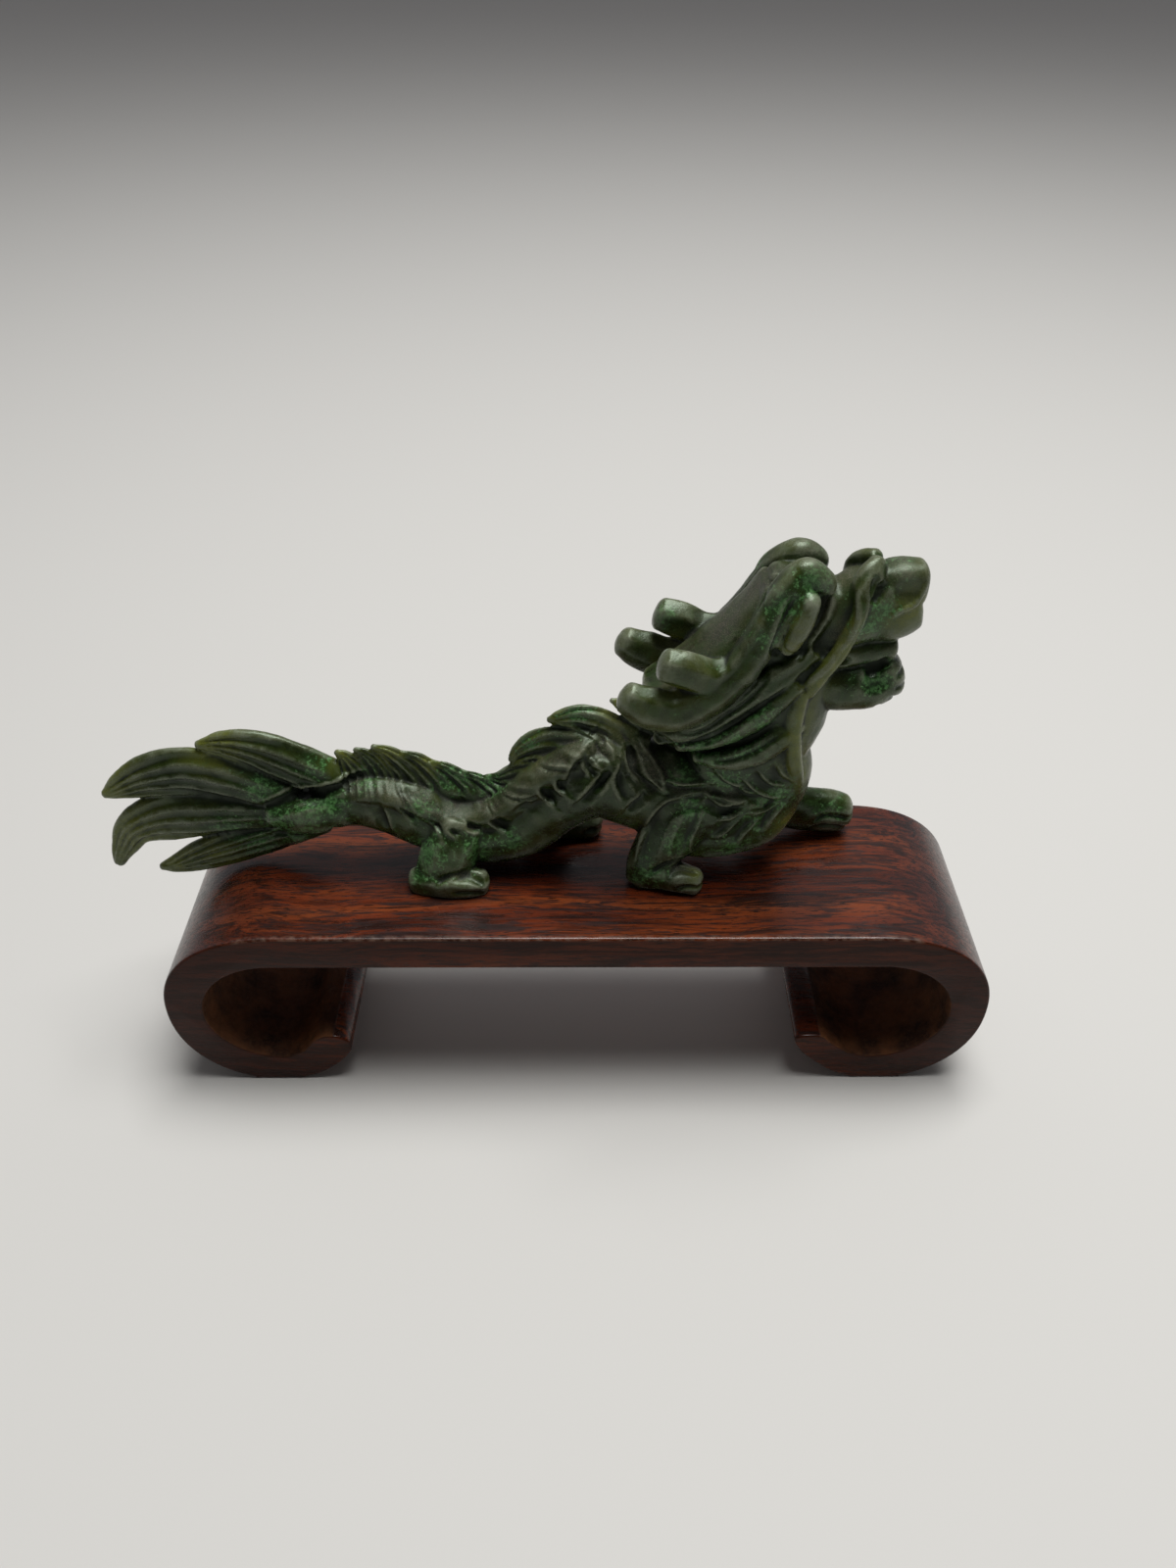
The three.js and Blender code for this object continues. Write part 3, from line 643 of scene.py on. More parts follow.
FRONDS = [
    [[-72, 0, 29, 0.9, 0.8], [-67, 0, 29, 1.6, 3.2], [-60.6, 0, 27.2, 2.2, 4.9],
     [-53, 0, 23.6, 2.8, 5], [-45, 0, 19.6, 3, 4]],
    [[-92.6, 0, 17, 0.9, 1], [-88.6, 0, 19, 1.5, 3.2], [-82.6, 0, 21.4, 1.9, 5],
     [-75, 0, 22.6, 2.2, 5.6], [-66, 0, 20.6, 2.8, 5], [-56, 0, 16, 3, 4]],
    [[-94.2, 0, -1, 0.9, 1.2], [-91.8, 0, 3.8, 1.5, 2.8], [-88.4, 0, 8.4, 1.9, 4.2],
     [-82.4, 0, 11, 2.2, 5.8], [-74, 0, 11.8, 2.5, 5.4], [-65, 0, 12.6, 2.9, 4.6],
     [-56, 0, 13, 3, 4]],
    [[-85.6, 0, -2.2, 0.9, 0.8], [-81.8, 0, -1.2, 1.4, 2.4], [-76, 0, 1.2, 2, 3.8],
     [-69, 0, 3.8, 2.4, 4.2], [-60, 0, 7.4, 2.8, 4.2], [-51, 0, 11, 3, 3.6]],
]


def tail_forms():
    """Four flat fronds in one plane, and a swelling on each flank at their root."""
    flank = [[-60, -2, 13.6, 2, 2.6], [-52.6, -3, 14.2, 2.8, 4.4], [-45, -3, 15.2, 2.4, 3.4]]
    return [limb(frond) for frond in FRONDS] + both_sides(flank)


def leg_forms():
    """The right legs stand back and the left legs reach forward, in the stride of a walk."""
    fore = [
        [28, -5, 19, 2.2, 4.6], [22.6, -6, 16.6, 2.6, 6], [18.4, -6.6, 11.6, 2.8, 6],
        [14.8, -7, 6, 2.8, 4.8], [13.6, -7.2, 1, 2.9, 4],
    ]
    fore_paw = [
        [12.4, -6.8, 1.6, 2.8, 3.4], [16, -7.6, 2.8, 3.2, 3.4], [20, -8.6, 2.6, 3.2, 3],
        [23.4, -9, 1.8, 3, 2.6],
    ]
    skirt = [
        [21, -3.6, 9, 3.8, 4.6], [28, -4.2, 10.4, 3.8, 5.4], [35, -3.6, 13, 3.6, 5.6],
        [39, -2.6, 18, 3, 5],
    ]
    hind = [[-22.6, -3.6, 12.6, 3.8, 5.6], [-24.4, -6, 8.6, 4, 5.4], [-25.8, -7.4, 4.6, 3.8, 5.6],
            [-26, -8.4, 0, 3.6, 6]]
    hind_paw = [
        [-31.6, -8.2, 1.2, 2.8, 3.2], [-27, -8.8, 2, 3.6, 3.4], [-22, -9.2, 1.8, 3.4, 3],
        [-18.8, -9, 1.6, 2.6, 2.6],
    ]
    left_fore = [
        [32, 4.4, 14, 4, 6], [39.4, 6.8, 9.6, 4, 5.6], [46, 8.4, 6.4, 3.8, 5],
        [51.8, 9.2, 5, 3.9, 5], [54.8, 9.4, 4.4, 3.6, 4.4],
    ]
    left_hind = [
        [-12, 4, 11, 3.6, 6], [-7.4, 6.4, 7.4, 3.8, 5.6], [-3, 8, 4, 3.6, 4.6],
        [3, 8.4, 2.4, 3.2, 3.6],
    ]
    return [limb(fore, ends=(0.5, 0.3), relief=facets(7, 0.6)),
            limb(fore_paw, ends=(0.5, 0.6), relief=facets(6, 0.6)),
            limb(hind, ends=(0.3, 0.3), relief=facets(6, 0.6)),
            limb(hind_paw, ends=(0.6, 0.6), relief=facets(6, 0.6)),
            *both_sides(skirt), limb(left_fore, ends=(0.3, 0.7)),
            limb(left_hind, ends=(0.3, 0.7))]


def worked(thing):
    """A new mesh: the object's own with its modifiers applied."""
    seen = bpy.context.evaluated_depsgraph_get()
    return bpy.data.meshes.new_from_object(thing.evaluated_get(seen))


def one_stone(forms, grain):
    """The forms as one closed skin: shells in one mesh, joined by a voxel remesh of that grain."""
    faces, start = [], 0
    for form in forms:
        rows, sides = form.shape[:2]
        faces += band_faces(rows, sides, start)
        start += rows * sides
    shells = bpy.data.meshes.new("roughed_out")
    shells.from_pydata(np.vstack([form.reshape(-1, 3) for form in forms]).tolist(), [], faces)
    rough = placed("roughed_out", shells)
    joined = rough.modifiers.new("one_stone", "REMESH")
    joined.mode = "VOXEL"
    joined.voxel_size = grain
    mesh = worked(rough)
    bpy.data.objects.remove(rough)
    return mesh


def normals_of(mesh):
    """The mesh's point normals as an array."""
    normal = np.empty(len(mesh.vertices) * 3, np.float32)
    mesh.vertex_normals.foreach_get("vector", normal)
    return normal.reshape(-1, 3).astype(float)


def edges_of(mesh):
    """The two point numbers of each edge."""
    pairs = np.empty(len(mesh.edges) * 2, np.int32)
    mesh.edges.foreach_get("vertices", pairs)
    return pairs.reshape(-1, 2)


def neighbour_mean(values, edges):
    """For each point, the mean of the values at the points it shares an edge with."""
    count = np.bincount(edges.ravel(), minlength=len(values)).clip(1)
    total = [np.bincount(edges[:, 0], column[edges[:, 1]], len(values))
             + np.bincount(edges[:, 1], column[edges[:, 0]], len(values)) for column in values.T]
    return np.stack(total, 1) / count[:, None]


def evened(values, edges, rounds):
    """The values after that many rounds of neighbour_mean."""
    for _ in range(rounds):
        values = neighbour_mean(values, edges)
    return values


def polish(place, edges, rounds):
    """Smooths without shrinking: each round moves points half way in, then a little further out."""
    for _ in range(rounds):
        place = place + 0.5 * (neighbour_mean(place, edges) - place)
        place = place - 0.52 * (neighbour_mean(place, edges) - place)
    return place


RIGHT, BOTH = (-1,), (-1, 1)


class Carving:
    """The dragon's skin while it is being carved: its points, the way they face, and its edges."""

    def __init__(self, mesh):
        self.mesh = mesh
        self.edges = edges_of(mesh)
        self.place = polish(points_of(mesh), self.edges, 6)
        self.face()

    def face(self):
        """Reads again which way every point faces."""
        self.mesh.vertices.foreach_set("co", self.place.astype(np.float32).ravel())
        self.mesh.update()
        self.normal = normals_of(self.mesh)

    def on_flank(self, side):
        """How much of a stroke each point takes: 3 n + 0.35, held between 0 and 1, where n is how
        far it faces that side, -1 for the right flank and 1 for the left."""
        return np.clip(self.normal[:, 1] * side * 3 + 0.35, 0, 1)

    def along_line(self, line, reach):
        """Points within reach of a smooth line in side view: their numbers, their distance from
        it (+ to the left going along it, - to the right), and their share of its length."""
        line = spline(line, np.linspace(0, 1, 6 * len(line)))
        low, high = line.min(0) - reach, line.max(0) + reach
        flat = self.place[:, [0, 2]]
        found = np.flatnonzero(((flat > low) & (flat < high)).all(1))
        start, step = line[:-1], np.diff(line, axis=0)
        length = np.linalg.norm(step, axis=1)
        away = flat[found, None] - start[None]
        t = np.clip((away * step).sum(2) / length**2, 0, 1)
        gap = away - t[..., None] * step
        distance = np.linalg.norm(gap, axis=2)
        best = distance.argmin(1)
        pick = np.arange(len(found)), best
        hand = np.sign(step[best, 0] * away[pick][:, 1] - step[best, 1] * away[pick][:, 0])
        run = np.concatenate([[0], np.cumsum(length)])
        share = (run[best] + t[pick] * length[best]) / run[-1]
        close = distance[pick] < reach
        return found[close], (distance[pick] * hand)[close], share[close]

    def push(self, found, amount, side):
        """Moves the found points out along their own normals, on the flank that side names."""
        self.place[found] += self.normal[found] * (amount * self.on_flank(side)[found])[:, None]

    def groove(self, line, width, depth, sides=BOTH):
        """A round-bottomed cut along the line, depth (1 - (d / width)^2)^1.5, which runs out over
        a fifth of its length at both ends. A negative depth leaves a ridge instead."""
        found, offset, share = self.along_line(line, width)
        fade = np.clip(np.minimum(share, 1 - share) * 5, 0, 1) ** 0.7
        amount = -depth * (1 - (offset / width) ** 2).clip(0) ** 1.5 * fade
        for side in sides:
            self.push(found, amount, side)

    def dish(self, middle, radii, depth, sides=BOTH):
        """A shallow dish, depth (1 - u^2)^1.5, with u the distance from its middle in its radii."""
        away = (self.place[:, [0, 2]] - middle) / radii
        found = np.flatnonzero((away**2).sum(1) < 1)
        for side in sides:
            self.push(found, -depth * (1 - (away[found] ** 2).sum(1)) ** 1.5, side)

    def hand_work(self, height, length, seed):
        """The unevenness of hand grinding: fifty |sin| waves of about that length that run in
        random directions, summed over the square root of fifty, which meet in soft edges."""
        dice = np.random.default_rng(seed)
        total = np.zeros(len(self.place))
        waves, spread = 50, 0.3
        for _ in range(waves):
            wave = dice.normal(size=3)
            wave *= np.pi / length / np.linalg.norm(wave) * dice.uniform(0.7, 1.5)
            total += np.abs(np.sin(self.place @ wave + dice.uniform(0, np.pi))) - 2 / np.pi
        self.place += self.normal * (height * total / np.sqrt(waves) / spread)[:, None]

    def scale(self, line, hollow, reach, lip=0.25, sides=BOTH):
        """The edge of a scale: a narrow lip along the line, and to its left a hollow that drops
        steeply and rises slowly, s exp(1 - s) over the reach. A negative reach is to its right."""
        found, offset, share = self.along_line(line, abs(reach) * 3.5)
        fade = np.sin(np.pi * share.clip(0.02, 0.98)) ** 0.6
        s = (offset * np.sign(reach) / abs(reach)).clip(0)
        amount = (lip * np.exp(-(offset / 0.45) ** 2) - hollow * s * np.exp(1 - s)) * fade
        for side in sides:
            self.push(found, amount, side)

    def flutes(self, leaves, count, depth):
        """Long flutes along leaves: depth |sin(pi count f)|, where f runs from -1 to 1 across each
        leaf, so they meet in sharp ridges. A point belongs to the leaf whose middle is nearest."""
        best = np.full(len(self.place), 1.1)
        amount = np.zeros(len(self.place))
        for leaf in leaves:
            leaf = np.array(leaf, float)
            found, offset, share = self.along_line(leaf[:, [0, 2]], leaf[:, 4].max() * 1.15)
            along = np.linspace(0, 1, 60)
            half = np.interp(share, along, spline(leaf, along)[:, 4])
            across = offset / half.clip(0.5)
            mine = np.abs(across) < best[found]
            found, across, share = found[mine], across[mine], share[mine]
            best[found] = np.abs(across)
            fade = np.clip(share * 7 + 0.1, 0, 1) * np.clip((0.95 - share) * 4, 0, 1)
            rim = np.clip((1.08 - np.abs(across)) * 6, 0, 1)
            amount[found] = depth * fade * np.abs(np.sin(np.pi * count * across)) * rim
        steep = np.clip(np.abs(self.normal[:, 1]) * 2.5 - 0.4, 0, 1)
        self.place -= self.normal * (amount * steep)[:, None]


TAIL_END = -62


def set_down(place):
    """Cuts off flat what would sink into the board. The fronds, past the tail's end, may hang."""
    standing = place[..., 0] > TAIL_END
    place[..., 2] = np.where(standing, place[..., 2].clip(0), place[..., 2])


forms = [limb(SPINE, rings=120, ends=(0.5, 0.45), power=2.2), *head_forms(), *horn_forms(),
         *mane_forms(), *whisker_forms(), *fin_forms(), *tail_forms(), *leg_forms()]
for form in forms:
    set_down(form)

VOXEL = 0.3
carving = Carving(one_stone(forms, VOXEL))

carving.hand_work(0.035, 5.0, 3)
carving.hand_work(0.008, 1.8, 4)
carving.face()

# Fronds and fins are fluted from tip to root: how many flutes to a half, and how deep.
carving.flutes(FRONDS, 2.0, 0.55)
carving.flutes(FINS, 1.5, 0.5)

# Scales hang from the smooth band along the back. Each is the line of its edge, the depth of the
# hollow past that edge, and how far the hollow reaches: to the left going along the line, or to the
# right if negative.
SCALES = [
    ([(3, 33.4), (0.9, 31), (-0.9, 28.4), (-2, 25.3)], 1.4, 0.9),
    ([(3, 33.4), (5, 31.9), (7.3, 30.3)], 1.3, -0.9),
    ([(-7.3, 23.4), (-6.6, 21.2), (-4.2, 19.3)], 1.2, 0.8),
    ([(1.2, 29.2), (1.6, 27.4), (3.1, 25.9)], 0.9, 0.6),
    ([(-3.9, 25.2), (-3.6, 23), (-2, 22.1)], 1.0, 0.6),
    ([(-13.1, 19.2), (-10.9, 20.4), (-8.5, 20.1)], 1.0, -0.7),
    ([(-17.8, 15.4), (-15.9, 13.4), (-13.6, 12.1)], 1.2, 0.8),
    ([(-22.6, 15), (-21, 13.2), (-18.6, 12.2)], 1.2, 0.8),
    ([(-25.6, 15.6), (-24.8, 13.8), (-23, 12.2)], 1.0, 0.8),
    ([(-35, 20.4), (-34, 18), (-31.8, 15)], 1.1, 0.8),
    ([(-37, 18.4), (-36.4, 16), (-35.9, 12.6)], 1.0, -0.8),
    ([(-30, 17.6), (-28.6, 15), (-26.2, 12.8)], 1.1, 0.8),
    ([(5.1, 27.2), (2.6, 24.1), (0.1, 20.9)], 1.0, 0.7),
    ([(8.5, 29.4), (7.2, 25.5), (8.7, 20.9)], 1.2, 0.8),
    ([(7.2, 27.2), (5.4, 24.1), (3.7, 22.3)], 0.9, -0.6),
    ([(12.9, 23.8), (10.8, 21.5), (9.1, 19.2)], 0.9, 0.6),
    ([(9, 31), (10.4, 26.9), (12.5, 24.4)], 1.1, 0.8),
    ([(10.3, 31), (13, 26.5), (16.8, 23.1)], 1.1, -0.9),
    ([(12.4, 30.6), (15.8, 27), (17, 23.2)], 0.6, 0.6),
    ([(16.3, 25.2), (20.6, 24.3), (25.2, 24.3)], 0.9, -0.8),
    ([(24.2, 22.6), (27.7, 21.8), (31.7, 21.1)], 0.6, 0.6),
    ([(24.7, 22), (28.1, 19.9), (31.7, 20.7)], 0.9, -0.7),
    ([(31, 26.4), (33.9, 23.5), (37, 21.8), (38.7, 21.3)], 1.0, -0.8),
    ([(26, 27.6), (28.6, 25.4), (32.4, 24)], 0.7, -0.7),
    ([(36.3, 12.7), (37.6, 16.6), (39.7, 19.7)], 0.9, 0.8),
    ([(31, 10), (32.6, 13.4), (35.2, 16.6)], 0.6, 0.8),
    ([(33.6, 28.6), (36, 25.6), (39.4, 24)], 0.8, -0.7),
    ([(29.4, 25.4), (32, 23), (35.6, 22)], 0.6, -0.7),
    ([(37, 30), (38.6, 27), (41, 25)], 0.6, -0.7),
    ([(33, 18.6), (36, 18.4), (38.6, 20)], 0.7, 0.7),
    ([(27, 16.8), (29.6, 17.4), (31.6, 19)], 0.7, 0.7),
    ([(26.4, 12), (28.4, 13.6), (30.4, 16)], 0.5, 0.8),
]
smooth_back = carving.place.copy()
for line, hollow, reach in SCALES:
    carving.scale(line, hollow, reach, 0.4)
# The band itself is left uncut, and stands up a little.
BAND = [
    (-50, 20.4), (-44, 20.6), (-38, 20.4), (-33, 18.8), (-28, 15.8), (-24, 14.4), (-19, 14.8),
    (-15, 16.8), (-11, 20.2), (-7.6, 24), (-4, 27.2), (0, 30), (4, 31.6),
]
BAND_HALF = 0.7
found, offset, _ = carving.along_line(BAND, 3.0)
cut_share = rise(np.abs(offset), BAND_HALF, 0.8)[:, None]
carving.place[found] = smooth_back[found] + (carving.place[found] - smooth_back[found]) * cut_share
carving.groove(BAND, 2.0, -0.35)
carving.face()
# The crease that runs up the back of the foreleg and over the shoulder.
SHOULDER = [(11.2, 5.5), (12.4, 11.3), (14.3, 17.5), (16.8, 20.9), (20.7, 22.2), (24.9, 22.6)]
carving.scale(SHOULDER, 0.9, -1.0, 0.5)
carving.scale([(23.8, 20.6), (23.4, 16.6), (22, 12), (22.4, 8)], 0.7, -0.9, 0.2)
# The sharp line from the body out along the tail, over the swelling at its root.
TAIL_LINE = [(-62, 16.8), (-58.7, 18.5), (-53.9, 20.3), (-48.8, 21.4), (-44.6, 22.6), (-40.7, 24)]
carving.scale(TAIL_LINE, 1.0, -1.0, 0.6)
carving.groove([(-61.4, 9.6), (-56.6, 8.4), (-52, 8.4), (-45.5, 13.2)], 1.0, 0.5)
# Toes. The left paws stand clear of the body, so they are cut from both sides.
TOES = [
    ([(17.6, 4.4), (20, 5.6), (24.6, 4.6)], RIGHT),
    ([(19, 2), (22, 2.8), (26, 1.8)], RIGHT),
    ([(14.4, 5), (18.4, 7), (22.6, 7)], RIGHT),
    ([(-24, 4.6), (-21, 4.4), (-17.4, 2.6)], RIGHT),
    ([(-28, 3.4), (-25, 5), (-21, 5.6)], RIGHT),
    ([(-24.6, 1.8), (-21, 1.8), (-18, 0.8)], RIGHT),
    ([(48.3, 5.4), (51.5, 6.6), (57, 5)], BOTH),
    ([(47.6, 2.6), (51.1, 4), (57.5, 2)], BOTH),
    ([(1, 2), (3.4, 3), (6, 2)], BOTH),
]
for line, sides in TOES:
    carving.groove(line, 0.8, 0.55, sides)
carving.face()

# The head: first its raised creases, then its cuts, each a line with its width and its height or
# depth. The last stroke swells the eyeball.
RIDGES = [
    ([(23.7, 49.9), (26.3, 51.5), (28.4, 54.8), (30.5, 58.2), (31.9, 61.3), (33, 63.8),
      (34.7, 66.1), (36.8, 68.4)], 1.0, 0.6),
    ([(47.7, 65.6), (47.9, 62.7), (48, 60.1), (47.1, 56.8), (45.5, 54.1), (44, 51.3), (41.5, 48.1),
      (38.4, 44.9)], 0.7, 0.5),
    ([(54.1, 59.2), (56, 60.3), (58.4, 61.3), (59.8, 64.8)], 0.7, 0.6),
]
for line, width, height in RIDGES:
    carving.groove(line, width, -height)
CUTS = [
    ([(37.3, 65.2), (35.7, 62), (34.6, 58), (34.1, 55), (35.1, 52.4)], 0.9, 0.9),
    ([(42.9, 64.4), (42.6, 62), (41.6, 58.8), (40.1, 55.3), (38.6, 52.3)], 0.9, 0.9),
    ([(35.6, 56), (36.9, 54.3), (39.1, 55)], 0.45, 0.35),
    ([(35.1, 54.2), (36.6, 52.7), (38.9, 53.3)], 0.45, 0.35),
    ([(45.2, 66), (45.4, 61), (43.6, 56.5), (41, 52.5), (37.5, 49.5), (32, 46.5)], 1.9, 0.8),
    ([(50.4, 62.2), (51.6, 63.4), (52.6, 65.6)], 1.1, 0.9),
    ([(51.3, 47.5), (53.7, 48.1), (56, 49.4)], 1.5, 0.9),
]
for line, width, depth in CUTS:
    carving.groove(line, width, depth)
carving.groove([(39.9, 66), (39.3, 61.4), (38, 57.4), (36.4, 53)], 2.2, -0.7)
# Dishes in the jaw, behind the nostril, in the side of the nose and at the corner of the mouth,
# each a middle, two radii and a depth. The front edge of the jaw is notched.
DISHES = [
    ((53.8, 45.6), (3.2, 2.6), 0.8),
    ((50.7, 65.4), (1.2, 2.2), 0.7),
    ((56.6, 63.6), (2.6, 2.4), 0.8),
    ((47.4, 50.2), (1.7, 1.2), 1.0),
]
NOTCHES = [
    [(57.4, 46.6), (58.6, 46.7), (60, 47)], [(57.4, 44.2), (59, 44.1), (60.4, 44)],
    [(56.6, 42), (58, 41.4), (59.6, 40.6)], [(54.8, 40.4), (55.8, 39), (56.8, 37.6)],
]
for middle, radii, depth in DISHES:
    carving.dish(middle, radii, depth)
for line in NOTCHES:
    carving.groove(line, 0.7, 0.45)
# The hair is parted along the locks.
HAIR = [
    [(13.4, 37), (15.8, 34.8), (18.8, 34.3), (22.9, 35.9), (27.4, 39.2), (30.6, 42), (33.9, 44.4),
     (37.6, 46.8)],
    [(18.7, 37), (22.7, 38.1), (26.6, 41.6), (29.8, 44.4), (32.4, 47.5), (33.9, 50.2)],
    [(21.2, 33.9), (24.6, 35.9), (28, 38.8), (31.2, 41.6), (35.3, 44.1)],
    [(21.9, 31.5), (26, 33.3), (30.3, 34.8), (34, 37), (37.2, 39.9)],
    [(25, 31.1), (29, 32.2), (33.3, 34.4), (38.3, 37.7)],
]
for line in HAIR:
    carving.groove(line, 0.75, 0.6)
carving.face()
stone, skin = carving.mesh, polish(carving.place, carving.edges, 1)
set_down(skin)

board_height = stand_high.z - stand_low.z
carving_origin = np.array(stand_foot) + np.array([0, DRAGON_MIDDLE * MM, board_height])
dragon_low, dragon_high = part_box("jade_dragon")
TOP_SPARE = 0.002
final = np.clip(skin * MM + carving_origin,
                np.array(dragon_low), np.array(dragon_high) - TOP_SPARE * MM)
stone.vertices.foreach_set("co", final.astype(np.float32).ravel())
stone.update()

dragon = placed("carved_jade_dragon", stone)
thin = dragon.modifiers.new("thinned", "DECIMATE")
MOST_TRIANGLES = 190000
thin.ratio = min(1.0, MOST_TRIANGLES / (2 * len(stone.polygons)))
finished = worked(dragon)
dragon.modifiers.clear()
dragon.data = finished
finished.shade_smooth()


def near_spots(place, spots):
    """How far each point lies within soft round spots [x, y, z, radius]: the largest
    exp(-(d / r)^2). The two flanks are alike, so a spot counts on both."""
    most = np.zeros(len(place))
    folded = place.copy()
    folded[:, 1] = np.abs(folded[:, 1])
    for x, y, z, radius in spots:
        most = np.maximum(most, np.exp(-((folded - (x, y, z)) ** 2).sum(1) / radius**2))
    return most


# Where the stone is speckled with bright green, where it is thin or clear enough to look olive,
# which is partly its own tone and partly painted light glowing through, and where dust has settled
# in the polish, with a painted sheen on it.
SPECKLED = [
    [-52, 4, 14, 6], [-58, 3, 13, 5], [-47, 4, 17, 4], [-50, 0, 24, 4], [-61, 2, 20, 4],
    [-68, 2, 9, 5], [-64, 2, 6, 5], [-56, 2, 8, 4], [-40, 3, 22, 3], [-30, 5, 17, 3.5],
    [-24, 0, 21, 4.5], [-17, 0, 19.5, 4], [-29, 8, 8, 6], [-31, 8, 2, 4], [-20, 7, 9, 5],
    [-13, 7, 10, 4], [14, 8, 4, 5], [20, 8, 12, 4], [22, 7, 19, 4], [20, 7, 27, 4],
    [28, 7, 26, 4.5], [37, 5, 22, 6], [34, 5, 16, 5], [30, 6, 9, 5], [23, 8, 33, 5], [30, 8, 36, 5],
    [33, 8, 41, 4], [33, 8, 57, 3], [35, 7, 63, 3.5], [40, 6, 67, 4], [50, 5, 58, 3.5],
    [53, 4, 61, 3], [55, 2, 69, 3], [54, 4, 46, 4], [0, 0, 37, 4], [-9, 0, 30, 3], [16, 6, 54, 3],
    [21, 6, 40, 2.5], [52, 8, 6, 4],
]
OLIVE = [
    [-92, 0, 19, 8], [-89, 0, 6, 9], [-82, 0, 0, 9], [-69, 0, 30, 6], [-72, 0, 2, 6],
    [48.5, 6, 58, 3], [47, 7, 54, 3], [45.5, 7, 51, 3], [43.8, 8, 47.5, 3], [42, 8, 44, 3],
    [41.3, 8, 40, 3], [41, 8, 36.5, 3], [41, 8, 33, 3], [42, 6, 29, 4], [42.5, 5, 25, 3],
    [38.6, 8, 60, 2.6], [37.2, 8, 56, 2.6], [-45, 0, 27, 3], [-36, 0, 28, 3], [-28, 0, 25, 2.5],
    [-10, 0, 29, 4], [-2, 0, 36, 3], [58, 3, 60, 4], [54, 6, 60, 3], [16, 8, 41, 3], [18, 8, 48, 3],
    [13, 0, 53, 3], [-24, 9, 2, 3], [24, 9, 4, 3], [36, 6, 21, 3], [40, 5, 14, 3], [7, 0, 38, 4],
]
# Spots where dust lies and a grey sheen is painted on.
DUST_AND_SHEEN_SPOTS = [
    [26, 0, 56, 7], [31, 0, 62, 6], [22, 2, 47, 5], [18, 6, 47, 4], [14, 4, 50, 4], [46, 0, 66, 4],
    [42, 0, 68, 4], [44, 6, 57, 3], [43, 6, 62, 3], [8, 5, 34, 5], [12, 5, 30, 4], [14, 8, 42, 3],
    [-42, 4, 21.5, 2.5], [-36, 4, 21, 3], [-30, 4, 19.5, 3], [-24, 4, 16, 3], [-18, 4, 16.5, 3],
    [-12, 4, 20, 3], [-6, 4, 26, 3], [0, 4, 31, 3], [5, 4, 31, 3], [56, 2, 65, 3.5],
    [-39, 5, 20, 3], [-33, 5, 18.6, 3], [-27, 5, 15.6, 3], [-21, 5, 14.4, 3], [-15, 5, 16.6, 3],
    [-9, 5, 22, 3], [-3, 5, 27.6, 3], [15, 6, 27, 4], [20, 7, 23.4, 2], [25, 7.4, 22.6, 2],
    [29, 7, 22, 2], [14, 7, 17, 2], [20, 8.6, 6.4, 3], [-24, 9, 5, 3],
]

place = (points_of(finished) - carving_origin) / MM
facing = normals_of(finished)
edges = edges_of(finished)
smooth = evened(place, edges, 3)
bend = evened(((smooth - place) * facing).sum(1)[:, None], edges, 1)[:, 0]
broad_bend = ((evened(smooth, edges, 30) - place) * facing).sum(1)
# Painted shade: the stone is darkened where its skin is hollow, in fine cuts and in broad recesses,
# but neither in the scoop of the upper lip nor in the dish behind the nostril.
scoops = near_spots(place, [[56.6, 3, 63.6, 3], [50.6, 4, 65, 2]])
painted_cut_shade = rise(bend, 0.02, 0.08) + rise(broad_bend, 0, 0.9)
record(finished, "hollow", painted_cut_shade * (1 - scoops))
# Sharp convex edges, laid pale: partly wear, partly a painted highlight.
record(finished, "edge", rise(-bend, 0.04, 0.08))
record(finished, "speckled", near_spots(place, SPECKLED))
# Olive on thin parts: the stone's own tone and painted light glowing through it.
record(finished, "olive", near_spots(place, OLIVE))
# Dust and a painted sheen, stronger on faces that turn up.
record(finished, "dust_and_sheen", near_spots(place, DUST_AND_SHEEN_SPOTS) * (facing[:, 2] * 1.2 + 0.25).clip(0, 1))
# Broad rounded parts take a little of the same painted glow.
record(finished, "rounded", rise(-broad_bend, 0.3, 0.6))

CLOUDED = [(0.3, (0.004, 0.008, 0.001)), (0.5, (0.011, 0.018, 0.002)),
           (0.7, (0.034, 0.046, 0.006))]
MOTTLED = (0.020, 0.042, 0.006)
# The olive of thin parts, partly painted light glowing through.
OLIVE_AND_THIN_GLOW = (0.150, 0.165, 0.026)
SPECKLE_GROUND = (0.016, 0.045, 0.012)
BRIGHT_GREEN = [(0.48, (0.040, 0.115, 0.030)), (0.60, (0.095, 0.23, 0.075)),
                (0.72, (0.21, 0.34, 0.17))]
# Painted shade laid into the cuts and recesses.
SHADE_IN_CUTS = (0.004, 0.007, 0.003)
# The pale of worn edges, which is also a painted highlight on the ridges.
PALE_WEAR_AND_HIGHLIGHT = (0.165, 0.180, 0.125)
# The colour of the dust and of the painted sheen.
DUST_AND_SHEEN_COLOUR = [(0.45, (0.040, 0.040, 0.033)), (0.68, (0.17, 0.14, 0.105))]
GLOSS_TINT = (0.84, 1.0, 0.80, 1)
STONE_IOR = 1.5
STONE_GLOSS = 0.45
STONE_BUMP = 0.0001


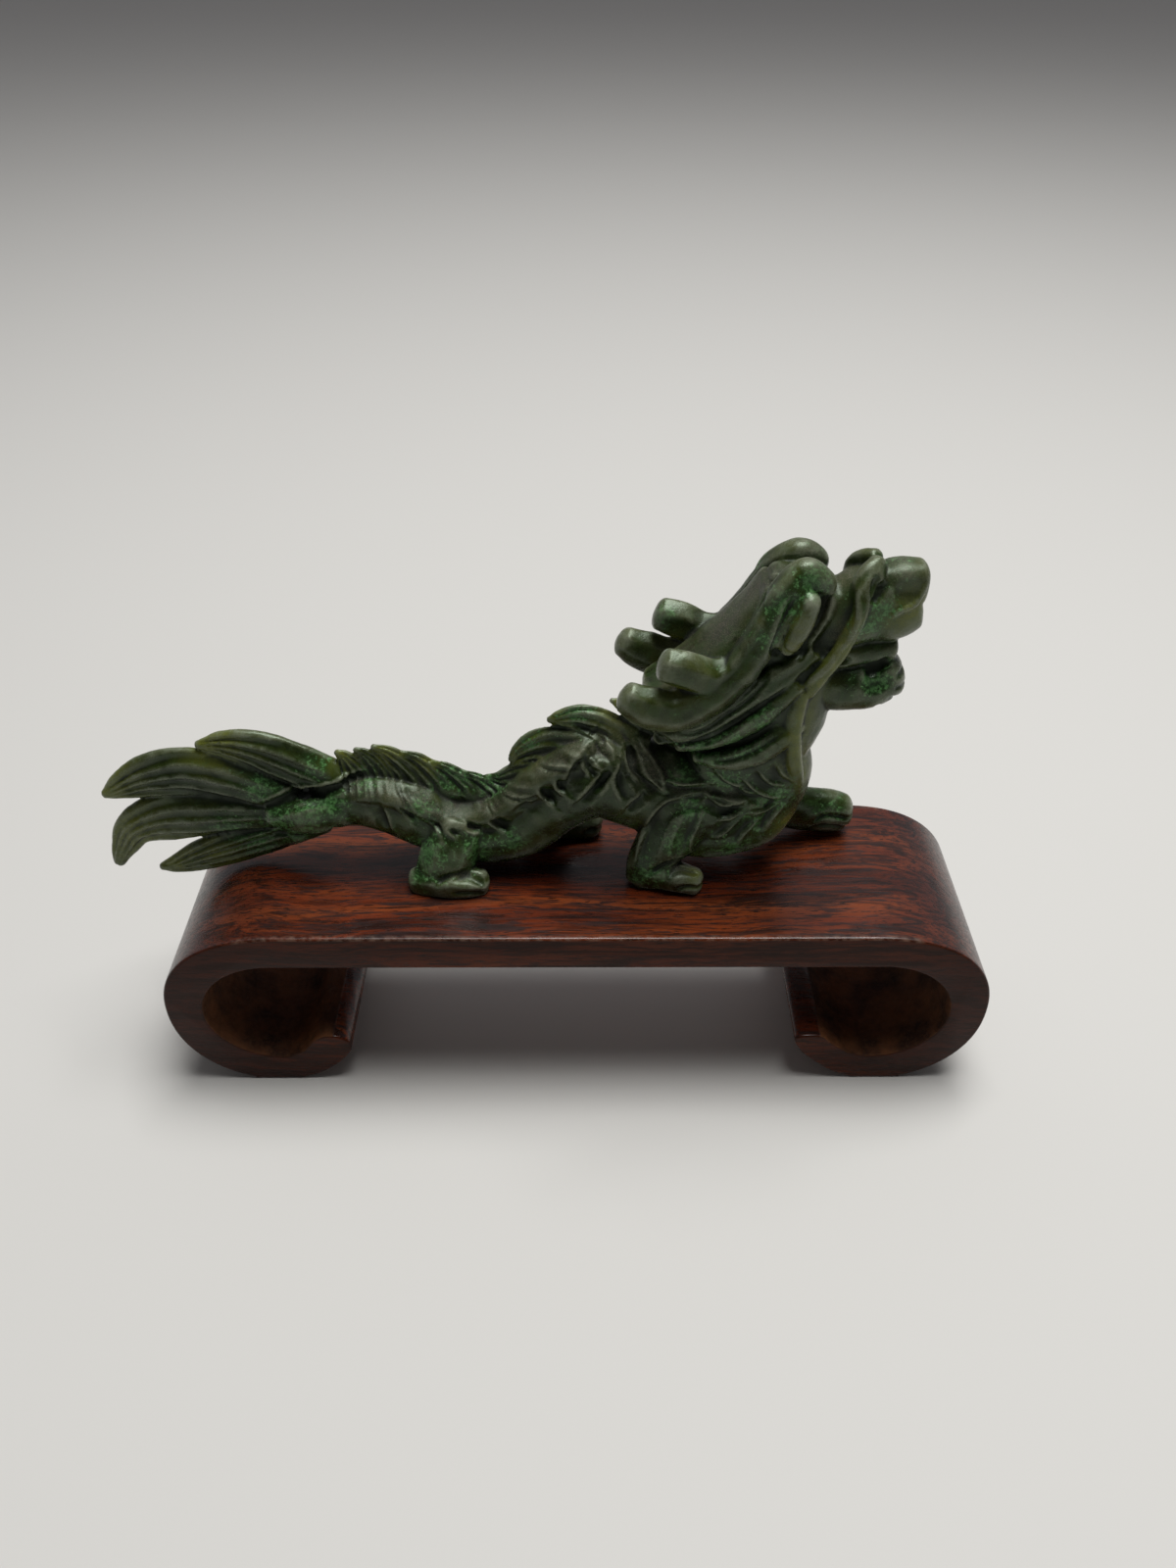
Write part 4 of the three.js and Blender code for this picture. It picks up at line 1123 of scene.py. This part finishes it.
def jade():
    """Dark nephrite: a clouded olive green, speckled bright green in patches, more olive where it
    is thin, partly its own tone and partly painted light glowing through it, worn pale with a
    painted highlight on its sharp edges, painted shade in its cuts, and dust with a painted sheen
    on top."""
    gem = Finish("nephrite_jade")
    cloud = gem.noise(110, 5, 0.6, 0.5)
    mottle = gem.noise(420, 5, 0.65, 0.8)
    flecks = gem.noise(1300, 7, 0.72, 0.4)
    grains = gem.noise(7000, 2)
    hollow, dust_and_sheen = gem.kept("hollow"), gem.kept("dust_and_sheen")
    # Olive where the stone is thin: its own tone and painted light glowing through.
    clear = gem.times(gem.kept("olive"), gem.ramp(mottle, [(0.25, 1.0), (0.7, 0.7)]))
    clear = gem.reckon("MAXIMUM", clear, gem.times(gem.kept("rounded"), 0.22))
    patch = gem.plus(gem.times(gem.kept("speckled"), 1.35),
                     gem.times(gem.reckon("SUBTRACT", mottle, 0.5), 2.2))
    shown = gem.reckon("SUBTRACT", gem.plus(flecks, gem.times(patch, 0.19)), 0.66)
    shown = gem.ramp(gem.times(shown, 9.0), [(0.0, 0.0), (0.8, 0.9)])
    # Pale sharp edges: wear and a painted highlight, broken up by the mottle.
    worn_and_highlit = gem.times(gem.kept("edge"), gem.ramp(mottle, [(0.35, 0.3), (0.6, 0.9)]))
    # Dust with a painted sheen, broken up by the grains.
    dust_and_sheen_veil = gem.times(dust_and_sheen, gem.ramp(grains, [(0.42, 0.15), (0.62, 0.70)]))
    colour = gem.coated(gem.ramp(cloud, CLOUDED), [
        (gem.ramp(mottle, [(0.42, 0.0), (0.62, 0.6)]), MOTTLED),
        (clear, OLIVE_AND_THIN_GLOW),
        (gem.times(patch, 0.6), SPECKLE_GROUND),
        (shown, gem.ramp(flecks, BRIGHT_GREEN)),
        # painted shade in the cuts and recesses
        (gem.times(hollow, 0.85), SHADE_IN_CUTS),
        (worn_and_highlit, PALE_WEAR_AND_HIGHLIGHT),
        (dust_and_sheen_veil, gem.ramp(grains, DUST_AND_SHEEN_COLOUR)),
    ])
    colour = gem.mix(1.0, colour, gem.ramp(grains, [(0.3, 0.72), (0.7, 1.3)]), "MULTIPLY")
    rough = gem.plus(gem.ramp(mottle, [(0.3, 0.20), (0.7, 0.34)]), gem.times(dust_and_sheen, 0.25))
    rough = gem.plus(rough, gem.times(hollow, 0.2))
    gem.shader.inputs["IOR"].default_value = STONE_IOR
    gem.shader.inputs["Specular IOR Level"].default_value = STONE_GLOSS
    gem.shader.inputs["Specular Tint"].default_value = GLOSS_TINT
    height = gem.plus(gem.times(flecks, 0.6), gem.times(grains, 0.25))
    height = gem.plus(height, gem.times(mottle, 1.2))
    return gem.done(colour, rough, height, 0.6, STONE_BUMP)


finished.materials.append(jade())
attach(dragon, "root")
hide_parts("jade_dragon")
